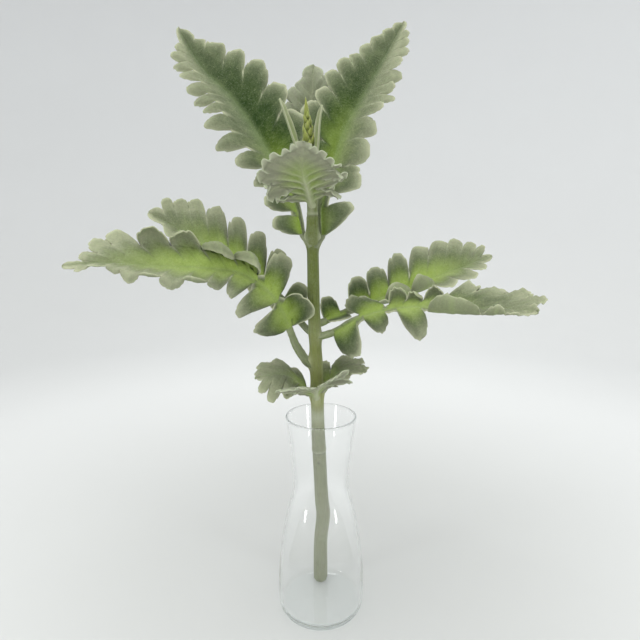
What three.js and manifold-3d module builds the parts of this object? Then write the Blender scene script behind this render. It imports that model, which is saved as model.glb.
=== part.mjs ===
// A cut dusty miller stem with lobed felted leaves, standing in a clear glass vase.
// Millimetres, +Z up, origin at the centre of the vase's foot. The stem leans from the
// back corner of the vase's floor on to the front of its rim.
import * as THREE from 'three';
import { mergeVertices } from 'three/addons/utils/BufferGeometryUtils.js';
import Module from 'manifold-3d';

const wasm = await Module();
wasm.setup();

const { lerp, clamp, degToRad } = THREE.MathUtils;

// ---- Vase -------------------------------------------------------------------
const VASE_HEIGHT = 180;
const VASE_WALL = 1.8;
const VASE_FLOOR = 3.6;
const VASE_LIP = 0.9; // radius of the rounded lip
const VASE_SIDES = 32;
// [outer radius, height], from the rounded edge of the foot up to the lip
const VASE_OUTLINE = [
  [33.6, 0], [36.9, 3.4], [38.2, 12], [37.7, 36], [33.9, 70], [29.6, 92],
  [25.6, 108], [24.4, 122], [26.4, 147], [30.3, VASE_HEIGHT - VASE_LIP],
];
const VASE_STEPS = 13; // rings along the outline

// ---- Stem -------------------------------------------------------------------
const STEM_LINE = [
  [-0.4, 26.2, 5.5], [-0.3, 14, 52], [1.9, 4.6, 84], [0.5, -0.8, 104], [-1.6, -15, 154],
  [-2.6, -23.3, 182], [-3.6, -31.4, 226], [-5.4, -38.5, 278], [-6.2, -43, 328],
  [-6.4, -44.6, 352], [-8, -46, 386],
];
// [height, radius]: the lower piece, the upper piece pushed over it and the thin top shoot
const STEM_RADII = [
  [4, 6.6], [90, 6], [154, 5.4], [156, 5.6], [187, 5.2], [226, 4.8], [258, 4.45], [300, 4.2],
  [344, 4.1], [347, 3.4], [390, 2.8],
];
const STEM_STEPS = 26;
const STEM_SIDES = 12;
const STEM_RIDGE = 0.045; // height of the lengthwise ridges, as a share of the radius

// ---- Leaf blades ------------------------------------------------------------
const BLADE = 0.8; // thickness of the felted blade
const RIB_TIP = 0.5; // half width of the midrib where it ends
const KEEL_SHARE = 1.25; // depth of the midrib under the blade, as a share of its half width
const KEEL_EDGE = 0.45; // how much of that depth is left at the midrib's edge
const MIDRIB_STEP = 11; // spacing of the points along a midrib, where the leaf is long enough
const TOOTH_ROUNDNESS = 3; // 2 is an ellipse, more is squarer
const TOOTH_COLUMNS = 4;
const BLADE_ROWS = 1; // from the midrib's edge out to the slits
const ROW_BEND = 50; // a tooth has one more row for each time it is bent this many degrees
const TOOTH_DROOP = 11; // how far every tooth turns down by itself, in degrees
const BEND_LIMIT = 90; // no tooth is bent further than this, up or down
const CURL_REACH = 30; // a curl is the turn of the blade over this many millimetres

const FELT_GREY = 0x9fae8d;
const FELT_GREEN = 0x8aa561;
const FELT_PALE = 0xaab49c;
const BUD_GREEN = 0xa3ad55;
const STEM_GREEN = 0x7d9450;
const GLASS = 0xdfe9e6;

const LEFT = 'left';
const RIGHT = 'right';

// Each leaf:
//   foot      where its stalk sits on the stem: height, direction in degrees and stand-off
//   midrib    points from there to the leaf's tip
//   face      where the upper face looks at the foot and at the tip
//   stalk     length of bare stalk; rib: half width of the stalk at its foot
//   lean      how far the teeth point forward, in degrees, at the foot and at the tip
//   fold      how far each half is folded up from the midrib, in degrees, foot and tip
//   curl      how far each half turns up (or down) on its way out, in degrees, foot and tip
//   left, right   the teeth from the foot to the tip, each [share of the midrib, reach from
//             the midrib, how far out the slit past it starts, how far the tooth is bent up and
//             how much further it leans, both in degrees]
//   A reach of 0 is a stretch of narrow wing with no tooth. The last one is the tip.
const LEAVES = [
  {
    name: 'leaf_top_left', colour: FELT_GREEN,
    foot: [329, 172, 2.6],
    midrib: [[-17.2, -38, 347], [-27, -30, 371], [-42, -19, 396], [-66, -3, 432], [-92, 8, 459],
      [-111, 17, 490]],
    face: [[0.3, -0.9, 0.2], [0.05, -0.9, 0.4]], stalk: 3, rib: 2.3,
    lean: [12, 56], fold: { left: [20, 36], right: [30, 4] },
    curl: { left: [-16, 4], right: [4, 8] },
    left: [[17, 21, 5, -10], [4, 0, 5], [16, 23, 6, -24], [9, 0, 7], [17, 24, 9, -60], [2, 0, 11],
      [16, 31, 15, -54], [3, 0, 18], [16, 40, 21, -56], [3, 0, 22], [16, 41, 22, -44], [3, 0, 22],
      [13, 35, 21, -64], [3, 0, 21], [12, 36, 20, -44], [3, 0, 20], [13, 34, 18, -56], [2, 0, 18],
      [13, 30, 16, -36], [2, 0, 16], [12, 28, 14, -50], [13, 24, 12, -30], [13, 16, 9, -20],
      [28, 5, 0]],
    right: [[38, 0, 5], [24, 22, 14, 8], [34, 39, 24, 6], [28, 42, 24, 0], [23, 45, 24, -10],
      [26, 40, 22, 10], [30, 30, 18, -6], [18, 17, 11, 6], [28, 6, 0]],
  },
  {
    name: 'leaf_top_right', colour: FELT_GREEN,
    foot: [328, 14, 2.6],
    midrib: [[0.4, -36, 352], [7, -28, 376], [18, -14, 410], [36, 0, 444], [64, 17, 494]],
    face: [[-0.3, -0.9, 0.2], [0, -0.9, 0.4]], stalk: 3, rib: 2.3,
    lean: [2, 52], fold: { left: [26, 4], right: [14, 34] },
    curl: { left: [4, 6], right: [-6, -8] },
    left: [[43, 0, 5], [20, 14, 8, 8], [20, 24, 14, -8], [20, 37, 23, 0], [18, 34, 24, 8],
      [16, 36, 25, -8], [17, 33, 24, 8], [14, 28, 20, -4], [15, 24, 17, 4], [18, 19, 13, 0],
      [16, 13, 7, 0], [18, 8, 0]],
    right: [[26, 27, 6, 4, 22], [12, 0, 6], [24, 25, 14, -20], [28, 27, 15, -50], [23, 26, 15, -20],
      [13, 27, 17, 24], [11, 30, 18, -30], [12, 27, 17, 20], [14, 28, 16, -24], [17, 23, 14, 18],
      [12, 22, 13, -10], [12, 18, 10, 14], [12, 14, 6, 0], [18, 7, 0]],
  },
  {
    name: 'leaf_top_back', colour: FELT_PALE,
    foot: [361, 92, 0.9],
    midrib: [[-9, -18, 382], [-8.4, 4, 418], [-6, 20, 464]],
    face: [[0, -0.9, 0.4], [0, -0.95, 0.3]], stalk: 24, rib: 1.6,
    lean: [22, 54], fold: { left: [-6, 10], right: [-6, 16] },
    curl: { left: [0, 0], right: [0, 10] },
    left: [[12, 18, 6, 0], [12, 28, 15, 14], [11, 30, 20, -10], [10, 26, 17, 8], [9, 17, 12, 0],
      [14, 6, 0]],
    right: [[12, 18, 6, 0], [12, 27, 16, -10], [11, 29, 20, 24], [10, 27, 17, -20], [9, 19, 12, 10],
      [14, 6, 0]],
  },
  {
    name: 'leaf_top_front', colour: FELT_PALE,
    foot: [352, -96, 0.7],
    midrib: [[-7.8, -59, 356.5], [-9, -70, 361], [-11.5, -86, 370], [-11, -95, 377.5],
      [-10.2, -101, 384.5]],
    face: [[0, 0.35, 0.95], [0, 0.8, 0.6]], stalk: 4, rib: 1.9,
    lean: [6, 36], fold: { left: [16, 2], right: [12, 2] },
    curl: { left: [-10, -26], right: [-10, -26] },
    left: [[9, 18, 6, 30], [10, 24, 8, -40], [9, 28, 14, 36], [8, 28, 18, -36], [8, 26, 18, 26],
      [7, 21, 14, -20], [7, 15, 10, 10], [6, 9, 5, -10], [7, 3, 0]],
    right: [[9, 24, 6, -30], [10, 30, 12, 24], [9, 31, 22, -50], [8, 30, 24, 20], [7, 27, 22, -40],
      [7, 21, 15, 10], [7, 14, 9, -20], [6, 8.5, 5, 0], [7, 3, 0]],
  },
  {
    name: 'leaf_mid_left_near', colour: FELT_GREEN,
    foot: [236, 196, 3],
    midrib: [[-20.8, -38, 254.4], [-25.5, -43, 270], [-31.8, -48, 285], [-42.5, -53, 297],
      [-57, -58, 306], [-78, -65, 309.7], [-107, -73, 311.6], [-135, -82, 314], [-161, -91, 313]],
    face: [[0.55, -0.7, 0.35], [0, -0.2, 1]], stalk: 31, rib: 2.7,
    lean: [2, 56], fold: { left: [-10, 6], right: [24, 36] },
    curl: { left: [-16, -10], right: [6, 6] },
    left: [[19, 28, 9, -60, -34], [3, 0, 4], [18, 32, 9, -60], [3, 0, 4], [15, 25, 8, -90],
      [11, 23, 14, -150], [12, 25, 16, 120], [13, 27, 17, -130], [12, 22, 16, 140],
      [11, 23, 14, -100], [10, 18, 11, -150], [10, 17, 8, 50], [10, 13, 4, -10], [12, 6, 0]],
    right: [[17, 28, 6, 100], [3, 0, 3.4], [13, 31, 8, -10, -8], [4, 0, 5], [12, 34, 10, 210],
      [14, 40, 15, 230], [14, 37, 19, 150], [15, 39, 20, 140], [13, 33, 20, 20], [11, 26, 12, 30],
      [10, 17, 4, 0], [14, 6, 0]],
  },
  {
    name: 'leaf_mid_left_far', colour: FELT_GREEN,
    foot: [259, 142, 0.9],
    midrib: [[-23.6, -25, 274], [-42, -21, 294], [-66, -18, 311], [-101, -12, 331],
      [-135, -6, 349]],
    face: [[0.8, -0.2, 0.5], [0.2, -0.5, 0.85]], stalk: 16, rib: 2.2,
    lean: [12, 54], fold: { left: [0, 0], right: [40, 40] },
    curl: { left: [-24, -16], right: [6, 10] },
    left: [[12, 16, 4, 0], [13, 20, 12, -30], [13, 24, 16, 20], [12, 24, 15, -30], [11, 20, 12, 0],
      [11, 14, 8, 0], [13, 7, 0]],
    right: [[14, 24, 4, 20], [5, 0, 3.4], [13, 32, 6, 40], [14, 36, 10, 0], [14, 39, 17, 14],
      [14, 39, 25, -8], [12, 36, 26, 24], [11, 30, 20, 0], [10, 24, 10, 30], [15, 7, 0]],
  },
  {
    name: 'leaf_mid_right_near', colour: FELT_GREEN,
    foot: [257, -24, 1.3],
    midrib: [[11.7, -41, 262], [29.3, -50, 273.6], [53, -62, 282], [84, -79, 285.5],
      [111, -95, 286.5], [129, -108, 287]],
    face: [[-0.3, -0.6, 0.75], [0, -0.3, 0.95]], stalk: 10, rib: 2.2,
    lean: [-8, 56], fold: { left: [16, 6], right: [16, 4] },
    curl: { left: [4, 14], right: [0, 0] },
    left: [[24, 0, 3.4], [20, 28, 5, 10, -50], [3, 0, 4], [12, 18, 7, 130], [11, 15, 6, 160],
      [12, 20, 8, 130], [14, 27, 19, 30], [14, 30, 22, -10], [14, 30, 20, 20], [13, 25, 9, 0],
      [12, 6, 0]],
    right: [[22, 29, 6, -90, -10], [6, 0, 4], [18, 22, 6, -120, 20], [8, 0, 4],
      [18, 30, 6, -100, 18], [3, 0, 9], [31, 29, 13, 200, -16], [12, 25, 15, 110], [10, 20, 9, 60],
      [9, 13, 5, 20], [10, 4, 0]],
  },
  {
    name: 'leaf_mid_right_far', colour: FELT_GREEN,
    foot: [266, 40, 0.8],
    midrib: [[17.6, -25, 272.5], [44.5, -17, 282], [86, -5, 296], [141, 9, 315]],
    face: [[-0.4, -0.35, 0.8], [0.1, -0.5, 0.9]], stalk: 5, rib: 2.2,
    lean: [2, 52], fold: { left: [28, 22], right: [10, 4] },
    curl: { left: [6, 8], right: [-20, -10] },
    left: [[12, 19, 4, 90], [7, 0, 4], [14, 25, 8, 50], [14, 33, 8, 10], [14, 38, 10, 0],
      [13, 38, 25, 12], [12, 36, 28, -6], [11, 32, 22, 10], [9, 27, 11, 0, 6], [8, 20, 5, 0, 8],
      [10, 4, 0]],
    right: [[12, 13, 4, 30], [5, 0, 4], [13, 24, 9, 90], [14, 34, 10, 200], [13, 32, 11, 200],
      [12, 22, 11, 40], [11, 23, 7, 10], [11, 16, 4, 10], [11, 4, 0]],
  },
  {
    name: 'leaf_low_left', colour: FELT_GREEN,
    foot: [209, 190, 1.2],
    midrib: [[-18.8, -31, 220], [-30.5, -38, 227.5], [-49, -48, 227.5]],
    face: [[0.4, 0, 0.9], [-0.3, -0.3, 0.85]], stalk: 4, rib: 1.9,
    lean: [26, 48], fold: { left: [-6, -20], right: [26, 18] },
    curl: { left: [-16, -24], right: [-10, -30] },
    left: [[14, 18, 8, -60], [18, 27, 9, -10], [18, 28, 9, -36], [14, 19, 5, 0], [13, 4, 0]],
    right: [[12, 17, 9, 12], [15, 22, 15, 0], [15, 22, 14, 12], [11, 15, 5, -60], [13, 4, 0]],
  },
  {
    name: 'leaf_low_front', colour: FELT_PALE,
    foot: [207, -98, 1.4],
    midrib: [[-4.2, -44, 214], [-3.6, -58, 221], [-2.2, -73, 228]],
    face: [[0, 0.45, 0.9], [0, 0.5, 0.8]], stalk: 4, rib: 1.9,
    lean: [10, 44], fold: { left: [40, 40], right: [6, 8] },
    curl: { left: [-14, -24], right: [-4, -8] },
    left: [[12, 20, 9, 0], [14, 31, 18, -30], [12, 29, 14, 12], [10, 19, 6, 0], [11, 3, 0]],
    right: [[12, 18, 8, 0], [14, 32, 17, 10], [13, 30, 14, -12], [10, 18, 6, 0], [11, 3, 0]],
  },
  {
    name: 'leaf_low_right', colour: FELT_GREEN,
    foot: [210, 26, 0.9],
    midrib: [[8.6, -24, 221], [19.5, -28, 228.5], [34, -36, 228.5]],
    face: [[-0.4, -0.4, 0.8], [0.4, -0.3, 0.85]], stalk: 4, rib: 1.9,
    lean: [16, 44], fold: { left: [24, 10], right: [10, 8] },
    curl: { left: [-10, -24], right: [-16, -24] },
    left: [[12, 17, 6, 40], [12, 20, 10, 0], [11, 19, 10, 30], [10, 14, 7, 0], [11, 7, 0]],
    right: [[12, 13, 5, -16], [12, 18, 8, 45], [11, 16, 8, -30], [10, 12, 6, 40], [11, 6, 0]],
  },
];

// ---- Stem line and seats -----------------------------------------------------
const stemLine = new THREE.CatmullRomCurve3(STEM_LINE.map((point) => new THREE.Vector3(...point)),
  false, 'catmullrom', 0.5);

// The stem's radius at a height, between the listed ones.
function stemRadius(z) {
  const next = STEM_RADII.findIndex(([height]) => height > z);
  if (next < 0) return STEM_RADII.at(-1)[1];
  if (next === 0) return STEM_RADII[0][1];
  const [[low, below], [high, above]] = STEM_RADII.slice(next - 1, next + 1);
  return lerp(below, above, (z - low) / (high - low));
}

// The point on the stem's line at a height.
function stemCentre(z) {
  let low = 0;
  let high = 1;
  for (let i = 0; i < 40; i += 1) {
    const middle = (low + high) / 2;
    if (stemLine.getPoint(middle).z < z) low = middle;
    else high = middle;
  }
  return stemLine.getPoint(low);
}

// Where a stalk starts: at a height, in a direction, a stand-off away from the stem's surface.
function stemSeat(z, direction, standOff) {
  const angle = degToRad(direction);
  const away = stemRadius(z) + standOff;
  const { x, y } = stemCentre(z);
  return [x + away * Math.cos(angle), y + away * Math.sin(angle), z];
}

// ---- Leaves ------------------------------------------------------------------
// A point part of the way from one flat point to another.
function between(from, to, share) {
  return [lerp(from[0], to[0], share), lerp(from[1], to[1], share)];
}

// The line of a leaf's midrib, with the directions across it and out of its upper face.
class Midrib {
  constructor(points, face) {
    const line = points.map((point) => new THREE.Vector3(...point));
    this.curve = new THREE.CatmullRomCurve3(line, false, 'catmullrom', 0.5);
    this.length = this.curve.getLength();
    this.face = face.map((direction) => new THREE.Vector3(...direction).normalize());
  }

  frame(y) {
    const along = clamp(y, 0, this.length);
    const share = along / this.length;
    const tangent = this.curve.getTangentAt(share);
    const origin = this.curve.getPointAt(share).addScaledVector(tangent, y - along);
    const face = this.face[0].clone().lerp(this.face[1], share);
    const up = face.addScaledVector(tangent, -face.dot(tangent)).normalize();
    const across = new THREE.Vector3().crossVectors(tangent, up);
    return { share, origin, up, across };
  }
}

// An open sheet of triangles, its points merged by name, thickened into one closed shell.
class Sheet {
  constructor() {
    this.points = [];
    this.keels = [];
    this.faces = [];
    this.names = new Map();
  }

  point(name, position, keel) {
    if (!this.names.has(name)) {
      this.names.set(name, this.points.length);
      this.points.push(position);
      this.keels.push(keel);
    }
    return this.names.get(name);
  }

  triangle(a, b, c, flip) {
    if (a === b || b === c || c === a) return;
    this.faces.push(flip ? [a, c, b] : [a, b, c]);
  }

  normals() {
    const normals = this.points.map(() => new THREE.Vector3());
    for (const [a, b, c] of this.faces) {
      const ab = this.points[b].clone().sub(this.points[a]);
      const ac = this.points[c].clone().sub(this.points[a]);
      const normal = ab.cross(ac);
      for (const corner of [a, b, c]) normals[corner].add(normal);
    }
    return normals.map((normal) => normal.normalize());
  }

  rim() {
    const edges = new Set(this.faces.flatMap(([a, b, c]) => [`${a},${b}`, `${b},${c}`, `${c},${a}`]));
    const open = (edge) => !edges.has(edge.split(',').reverse().join(','));
    return [...edges].filter(open).map((edge) => edge.split(',').map(Number));
  }

  shell(thickness) {
    const normals = this.normals();
    const count = this.points.length;
    const top = this.points.map((point, i) => point.clone().addScaledVector(normals[i], thickness / 2));
    const below = this.points.map((point, i) => point.clone()
      .addScaledVector(normals[i], -thickness / 2 - this.keels[i]));
    const faces = this.faces.flatMap(([a, b, c]) => [[a, b, c], [c + count, b + count, a + count]]);
    for (const [a, b] of this.rim()) faces.push([b, a, a + count], [b, a + count, b + count]);
    return solid([...top, ...below], faces);
  }
}

// A closed mesh from its corner points and triangles.
function solid(points, faces) {
  const geometry = new THREE.BufferGeometry();
  geometry.setAttribute('position', new THREE.Float32BufferAttribute(points.flatMap((p) => p.toArray()), 3));
  geometry.setIndex(faces.flat());
  return geometry;
}

// One lobed leaf: laid out flat, folded and curled round its midrib, then thickened.
class Leaf {
  constructor(leaf) {
    this.leaf = leaf;
    this.midrib = new Midrib([stemSeat(...leaf.foot), ...leaf.midrib], leaf.face);
    this.sheet = new Sheet();
    this.columns = leaf.columns ?? TOOTH_COLUMNS;
  }

  lean(y) {
    return degToRad(lerp(...this.leaf.lean, y / this.midrib.length));
  }

  ribHalf(y) {
    return lerp(this.leaf.rib, RIB_TIP, clamp(y / this.midrib.length, 0, 1));
  }

  // Where a flat point lies in space; rise lifts it off the curled blade.
  place(side, x, y, rise) {
    const { share, origin, up, across } = this.midrib.frame(y);
    const fold = degToRad(lerp(...this.leaf.fold[side], share));
    const curl = degToRad(lerp(...this.leaf.curl[side], share) || 1) / CURL_REACH;
    const turn = fold + curl * x;
    const out = (Math.sin(turn) - Math.sin(fold)) / curl - rise * Math.sin(turn);
    const height = (Math.cos(fold) - Math.cos(turn)) / curl + rise * Math.cos(turn);
    return origin.addScaledVector(across, side === RIGHT ? out : -out).addScaledVector(up, height);
  }

  // A point named after its place on the flat blade; laid is where it is once its tooth is bent.
  vertex(side, [x, y], { laid = [x, y], rise = 0, keel = 0 } = {}) {
    const name = x < 1e-6 ? `${y.toFixed(4)}` : `${side} ${x.toFixed(4)} ${y.toFixed(4)}`;
    return this.sheet.point(name, this.place(side, ...laid, rise), keel * KEEL_SHARE * this.ribHalf(y));
  }

  // A slit between two teeth: where it meets the midrib's edge and where it starts.
  slit(y, out) {
    const root = [this.ribHalf(y), y];
    const angle = this.lean(y);
    const start = [out * Math.cos(angle), y + out * Math.sin(angle)];
    return { root, start: start[0] > root[0] ? start : root };
  }

  patches(side) {
    const { stalk } = this.leaf;
    const teeth = this.leaf[side];
    const total = teeth.reduce((sum, [share]) => sum + share, 0);
    const length = this.midrib.length;
    const scale = (length - stalk) / total;
    const tip = { root: [0, length], start: [0, length] };
    let y = stalk;
    let before = this.slit(stalk, 0);
    const patches = [{ before: this.slit(0, 0), after: before, reach: 0 }];
    teeth.forEach(([share, reach, out, bend = 0, aim = 0], i) => {
      const last = i === teeth.length - 1;
      const middle = y + share * scale / 2;
      y += share * scale;
      const after = last ? tip : this.slit(y, out);
      const angle = this.lean(middle) + degToRad(aim);
      const point = [reach * Math.cos(angle), middle + reach * Math.sin(angle)];
      const bent = last ? 0 : clamp(bend - TOOTH_DROOP, -BEND_LIMIT, BEND_LIMIT);
      patches.push({ before, after, reach, point, last, bent });
      before = after;
    });
    return patches;
  }

  // A point on the edge of a tooth, from the slit before it (0) to the slit after it (1).
  edge({ before, after, reach, point, last }, share) {
    if (!reach) return between(before.start, after.start, share);
    if (last) {
      const [x0, y0] = before.start;
      const [, y1] = after.start;
      const shoulder = [x0 + reach * 0.55, lerp(y0, y1, 0.5)];
      const brow = [reach * 0.55, lerp(y0, y1, 0.96)];
      const corner = between(shoulder, brow, share);
      return between(between(between(before.start, shoulder, share), corner, share),
        between(corner, between(brow, after.start, share), share), share);
    }
    const turn = (share - 0.5) * Math.PI;
    const along = Math.cos(turn) ** (2 / TOOTH_ROUNDNESS);
    const across = Math.sign(turn) * Math.abs(Math.sin(turn)) ** (2 / TOOTH_ROUNDNESS);
    const centre = between(before.start, after.start, 0.5);
    return centre.map((value, i) => value + (point[i] - value) * along
      + (after.start[i] - before.start[i]) / 2 * across);
  }

  buildSide(side) {
    const flip = side === LEFT;
    const inner = [];
    for (const patch of this.patches(side)) {
      const columns = patch.reach ? this.columns : 1;
      const grid = [];
      for (let column = 0; column <= columns; column += 1) {
        const root = between(patch.before.root, patch.after.root, column / columns);
        grid.push(this.column(side, patch, column / columns, root));
        inner.push({ point: grid.at(-1)[0], y: root[1] });
      }
      this.weave(grid, flip);
    }
    this.zip(inner.filter(({ point }, i) => point !== inner[i - 1]?.point), flip);
  }

  // The points from the midrib's edge out to the blade's edge, part of the way along a tooth.
  column(side, patch, share, root) {
    const waist = between(patch.before.start, patch.after.start, share);
    const rim = this.edge(patch, share);
    const line = [this.vertex(side, root, { keel: KEEL_EDGE })];
    for (let row = 1; row <= BLADE_ROWS; row += 1) {
      line.push(this.vertex(side, between(root, waist, row / BLADE_ROWS)));
    }
    const turn = degToRad(patch.bent || 1);
    const rows = patch.reach ? Math.ceil(Math.abs(patch.bent) / ROW_BEND) || 1 : 0;
    const beyond = Math.hypot(rim[0] - waist[0], rim[1] - waist[1]);
    for (let row = 1; row <= rows; row += 1) {
      const laid = between(waist, rim, Math.sin(turn * row / rows) / turn);
      const rise = beyond * (1 - Math.cos(turn * row / rows)) / turn;
      line.push(this.vertex(side, between(waist, rim, row / rows), { laid, rise }));
    }
    return line;
  }

  weave(grid, flip) {
    for (let column = 0; column + 1 < grid.length; column += 1) {
      const here = grid[column];
      const next = grid[column + 1];
      for (let row = 0; row + 1 < here.length; row += 1) {
        this.sheet.triangle(here[row], here[row + 1], next[row + 1], flip);
        this.sheet.triangle(here[row], next[row + 1], next[row], flip);
      }
    }
  }

  // Joins the midrib's own points to the points along its edge.
  zip(edge, flip) {
    const count = Math.round(this.midrib.length / MIDRIB_STEP);
    const middle = [];
    for (let i = 0; i <= count; i += 1) {
      const y = this.midrib.length * i / count;
      middle.push({ point: this.vertex(RIGHT, [0, y], { keel: 1 }), y });
    }
    let m = 0;
    let e = 0;
    while (m + 1 < middle.length || e + 1 < edge.length) {
      const nextMiddle = middle[m + 1]?.y ?? Infinity;
      const nextEdge = edge[e + 1]?.y ?? Infinity;
      if (nextEdge <= nextMiddle) {
        this.sheet.triangle(middle[m].point, edge[e].point, edge[e + 1].point, flip);
        e += 1;
      } else {
        this.sheet.triangle(middle[m].point, edge[e].point, middle[m + 1].point, flip);
        m += 1;
      }
    }
  }

  geometry() {
    this.buildSide(LEFT);
    this.buildSide(RIGHT);
    return this.sheet.shell(BLADE);
  }
}

// ---- Tubes and turned shapes ------------------------------------------------
// A closed tube round a curve; radiusAt(point, angle) gives its ridged, tapering radius.
function tube(curve, radiusAt, steps, sides) {
  const points = [];
  for (let step = 0; step <= steps; step += 1) {
    const centre = curve.getPointAt(step / steps);
    const along = curve.getTangentAt(step / steps);
    const right = new THREE.Vector3(1, 0, 0).addScaledVector(along, -along.x).normalize();
    const back = new THREE.Vector3().crossVectors(along, right);
    for (let side = 0; side < sides; side += 1) {
      const angle = side / sides * 2 * Math.PI;
      const radius = radiusAt(centre, angle);
      points.push(centre.clone().addScaledVector(right, radius * Math.cos(angle))
        .addScaledVector(back, radius * Math.sin(angle)));
    }
  }
  const faces = [];
  for (let step = 0; step < steps; step += 1) {
    for (let side = 0; side < sides; side += 1) {
      const a = step * sides + side;
      const b = step * sides + (side + 1) % sides;
      faces.push([a, b, b + sides], [a, b + sides, a + sides]);
    }
  }
  const last = steps * sides;
  for (let side = 1; side + 1 < sides; side += 1) {
    faces.push([0, side + 1, side], [last, last + side, last + side + 1]);
  }
  return solid(points, faces);
}

function stemGeometry() {
  const ridged = (centre, angle) => stemRadius(centre.z)
    * (1 + STEM_RIDGE * Math.cos(angle * STEM_SIDES / 2));
  return tube(stemLine, ridged, STEM_STEPS, STEM_SIDES);
}

// The vase: its outline up the outside, over the lip and down the inside to the floor.
function vaseGeometry() {
  const outline = new THREE.SplineCurve(VASE_OUTLINE.map(([r, z]) => new THREE.Vector2(r, z)));
  const outer = outline.getPoints(VASE_STEPS);
  const inner = outer.map((point, i) => {
    const along = outline.getTangent(i / VASE_STEPS);
    return new THREE.Vector2(point.x - along.y * VASE_WALL, point.y + along.x * VASE_WALL);
  }).filter((point) => point.y > VASE_FLOOR + 1);
  const corner = new THREE.Vector2(inner[0].x - 1.6, VASE_FLOOR);
  const lip = new THREE.Vector2(outer.at(-1).x - VASE_LIP, VASE_HEIGHT);
  const profile = [new THREE.Vector2(0, 0), ...outer, lip, ...inner.reverse(), corner,
    new THREE.Vector2(0, VASE_FLOOR)];
  return new THREE.LatheGeometry(profile, VASE_SIDES).rotateX(Math.PI / 2);
}

// ---- The bud and its young leaves -------------------------------------------
const BUD_FOOT = [-8, -46, 386.4];
const BUD_TIP = [-10.6, -46.6, 423];
const BUD_RADIUS = 2.4;
const BUD_SCALES = 16;
const BUD_SCALED = [0.12, 0.64]; // share of the bud's height that carries scales
const BUD_SCALE = { width: 3.6, thickness: 2, length: 10, tilt: 20 };
const BUD_SCALE_TURN = 137.5; // degrees from one scale to the next, up the bud

const YOUNG_TEETH = [[7, 0, 2.8], [8, 0, 4.1], [8, 0, 4.2], [8, 0, 3.2], [11, 0.6, 0]];
const YOUNG_LEAVES = [
  {
    name: 'leaf_young_left', colour: FELT_GREY,
    foot: [381, 186, 1.2],
    midrib: [[-17.6, -47, 393], [-23, -47.6, 408], [-28, -47.6, 422]],
    face: [[0.8, -0.5, 0.3], [0.8, -0.5, 0.3]], stalk: 2, rib: 1, columns: 2,
    lean: [30, 30], fold: { left: [30, 30], right: [30, 30] },
    curl: { left: [0, 0], right: [0, 0] },
    left: YOUNG_TEETH, right: YOUNG_TEETH,
  },
  {
    name: 'leaf_young_right', colour: FELT_GREY,
    foot: [380, -20, 1],
    midrib: [[-2.4, -49.4, 392], [-1.4, -51, 405], [0.4, -51, 417]],
    face: [[-0.8, -0.5, 0.3], [-0.8, -0.5, 0.3]], stalk: 2, rib: 0.9, columns: 2,
    lean: [30, 30], fold: { left: [30, 30], right: [30, 30] },
    curl: { left: [0, 0], right: [0, 0] },
    left: YOUNG_TEETH, right: YOUNG_TEETH,
  },
];

function toSolid(geometry) {
  const bare = new THREE.BufferGeometry().setAttribute('position', geometry.getAttribute('position'));
  bare.setIndex(geometry.index);
  const merged = mergeVertices(bare);
  return new wasm.Manifold(new wasm.Mesh({
    numProp: 3,
    vertProperties: new Float32Array(merged.getAttribute('position').array),
    triVerts: new Uint32Array(merged.index.array),
  }));
}

function fromSolid(body) {
  const { vertProperties, triVerts } = body.getMesh();
  const geometry = new THREE.BufferGeometry();
  geometry.setAttribute('position', new THREE.Float32BufferAttribute(vertProperties, 3));
  geometry.setIndex([...triVerts]);
  return geometry;
}

// One scale of the bud: a small flattened bead that leans out of the core.
function budScale(centre, turn, size) {
  const { width, thickness, length, tilt } = BUD_SCALE;
  return new THREE.SphereGeometry(0.5, 6, 5)
    .rotateX(Math.PI / 2)
    .scale(thickness * size, width * size, length * size)
    .translate(0, 0, length * size * 0.3)
    .rotateY(degToRad(tilt))
    .translate(BUD_RADIUS * 0.5 * size, 0, 0)
    .rotateZ(turn)
    .translate(centre.x, centre.y, centre.z);
}

function budGeometry() {
  const foot = new THREE.Vector3(...BUD_FOOT);
  const tip = new THREE.Vector3(...BUD_TIP);
  const line = new THREE.LineCurve3(foot, tip);
  const radiusAt = ({ z }) => BUD_RADIUS * (1 - 0.9 * ((z - foot.z) / (tip.z - foot.z)) ** 3);
  let body = toSolid(tube(line, radiusAt, 7, 8));
  for (let i = 0; i < BUD_SCALES; i += 1) {
    const height = lerp(...BUD_SCALED, i / BUD_SCALES);
    const size = 1.15 - 0.6 * height;
    body = body.add(toSolid(budScale(line.getPoint(height), degToRad(i * BUD_SCALE_TURN), size)));
  }
  return fromSolid(body);
}

// ---- The assembly -----------------------------------------------------------
function piece(name, geometry, color, roughness, more = {}) {
  const mesh = new THREE.Mesh(geometry, new THREE.MeshStandardMaterial({ color, roughness, ...more }));
  mesh.name = name;
  return mesh;
}

const plant = new THREE.Group();
plant.add(piece('vase', vaseGeometry(), GLASS, 0.05, { transparent: true, opacity: 0.35 }));
plant.add(piece('stem', stemGeometry(), STEM_GREEN, 0.85));
for (const leaf of [...LEAVES, ...YOUNG_LEAVES]) {
  plant.add(piece(leaf.name, new Leaf(leaf).geometry(), leaf.colour, 0.95));
}
plant.add(piece('bud', budGeometry(), BUD_GREEN, 0.9));

export default plant;
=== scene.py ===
"""Dresses a cut dusty miller stem and the clear glass vase that it stands in.

Each leaf, the stem, the bud and the vase get a fine mesh on the same lines and sizes as
their plain solids, then hairs and a finish, and a small studio goes round them. Sizes are
in millimetres and turns in degrees unless a name says otherwise.
"""

import logging
import math
from dataclasses import dataclass, field, replace
from enum import Enum
from typing import Any, ClassVar, NamedTuple, Sequence

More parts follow.
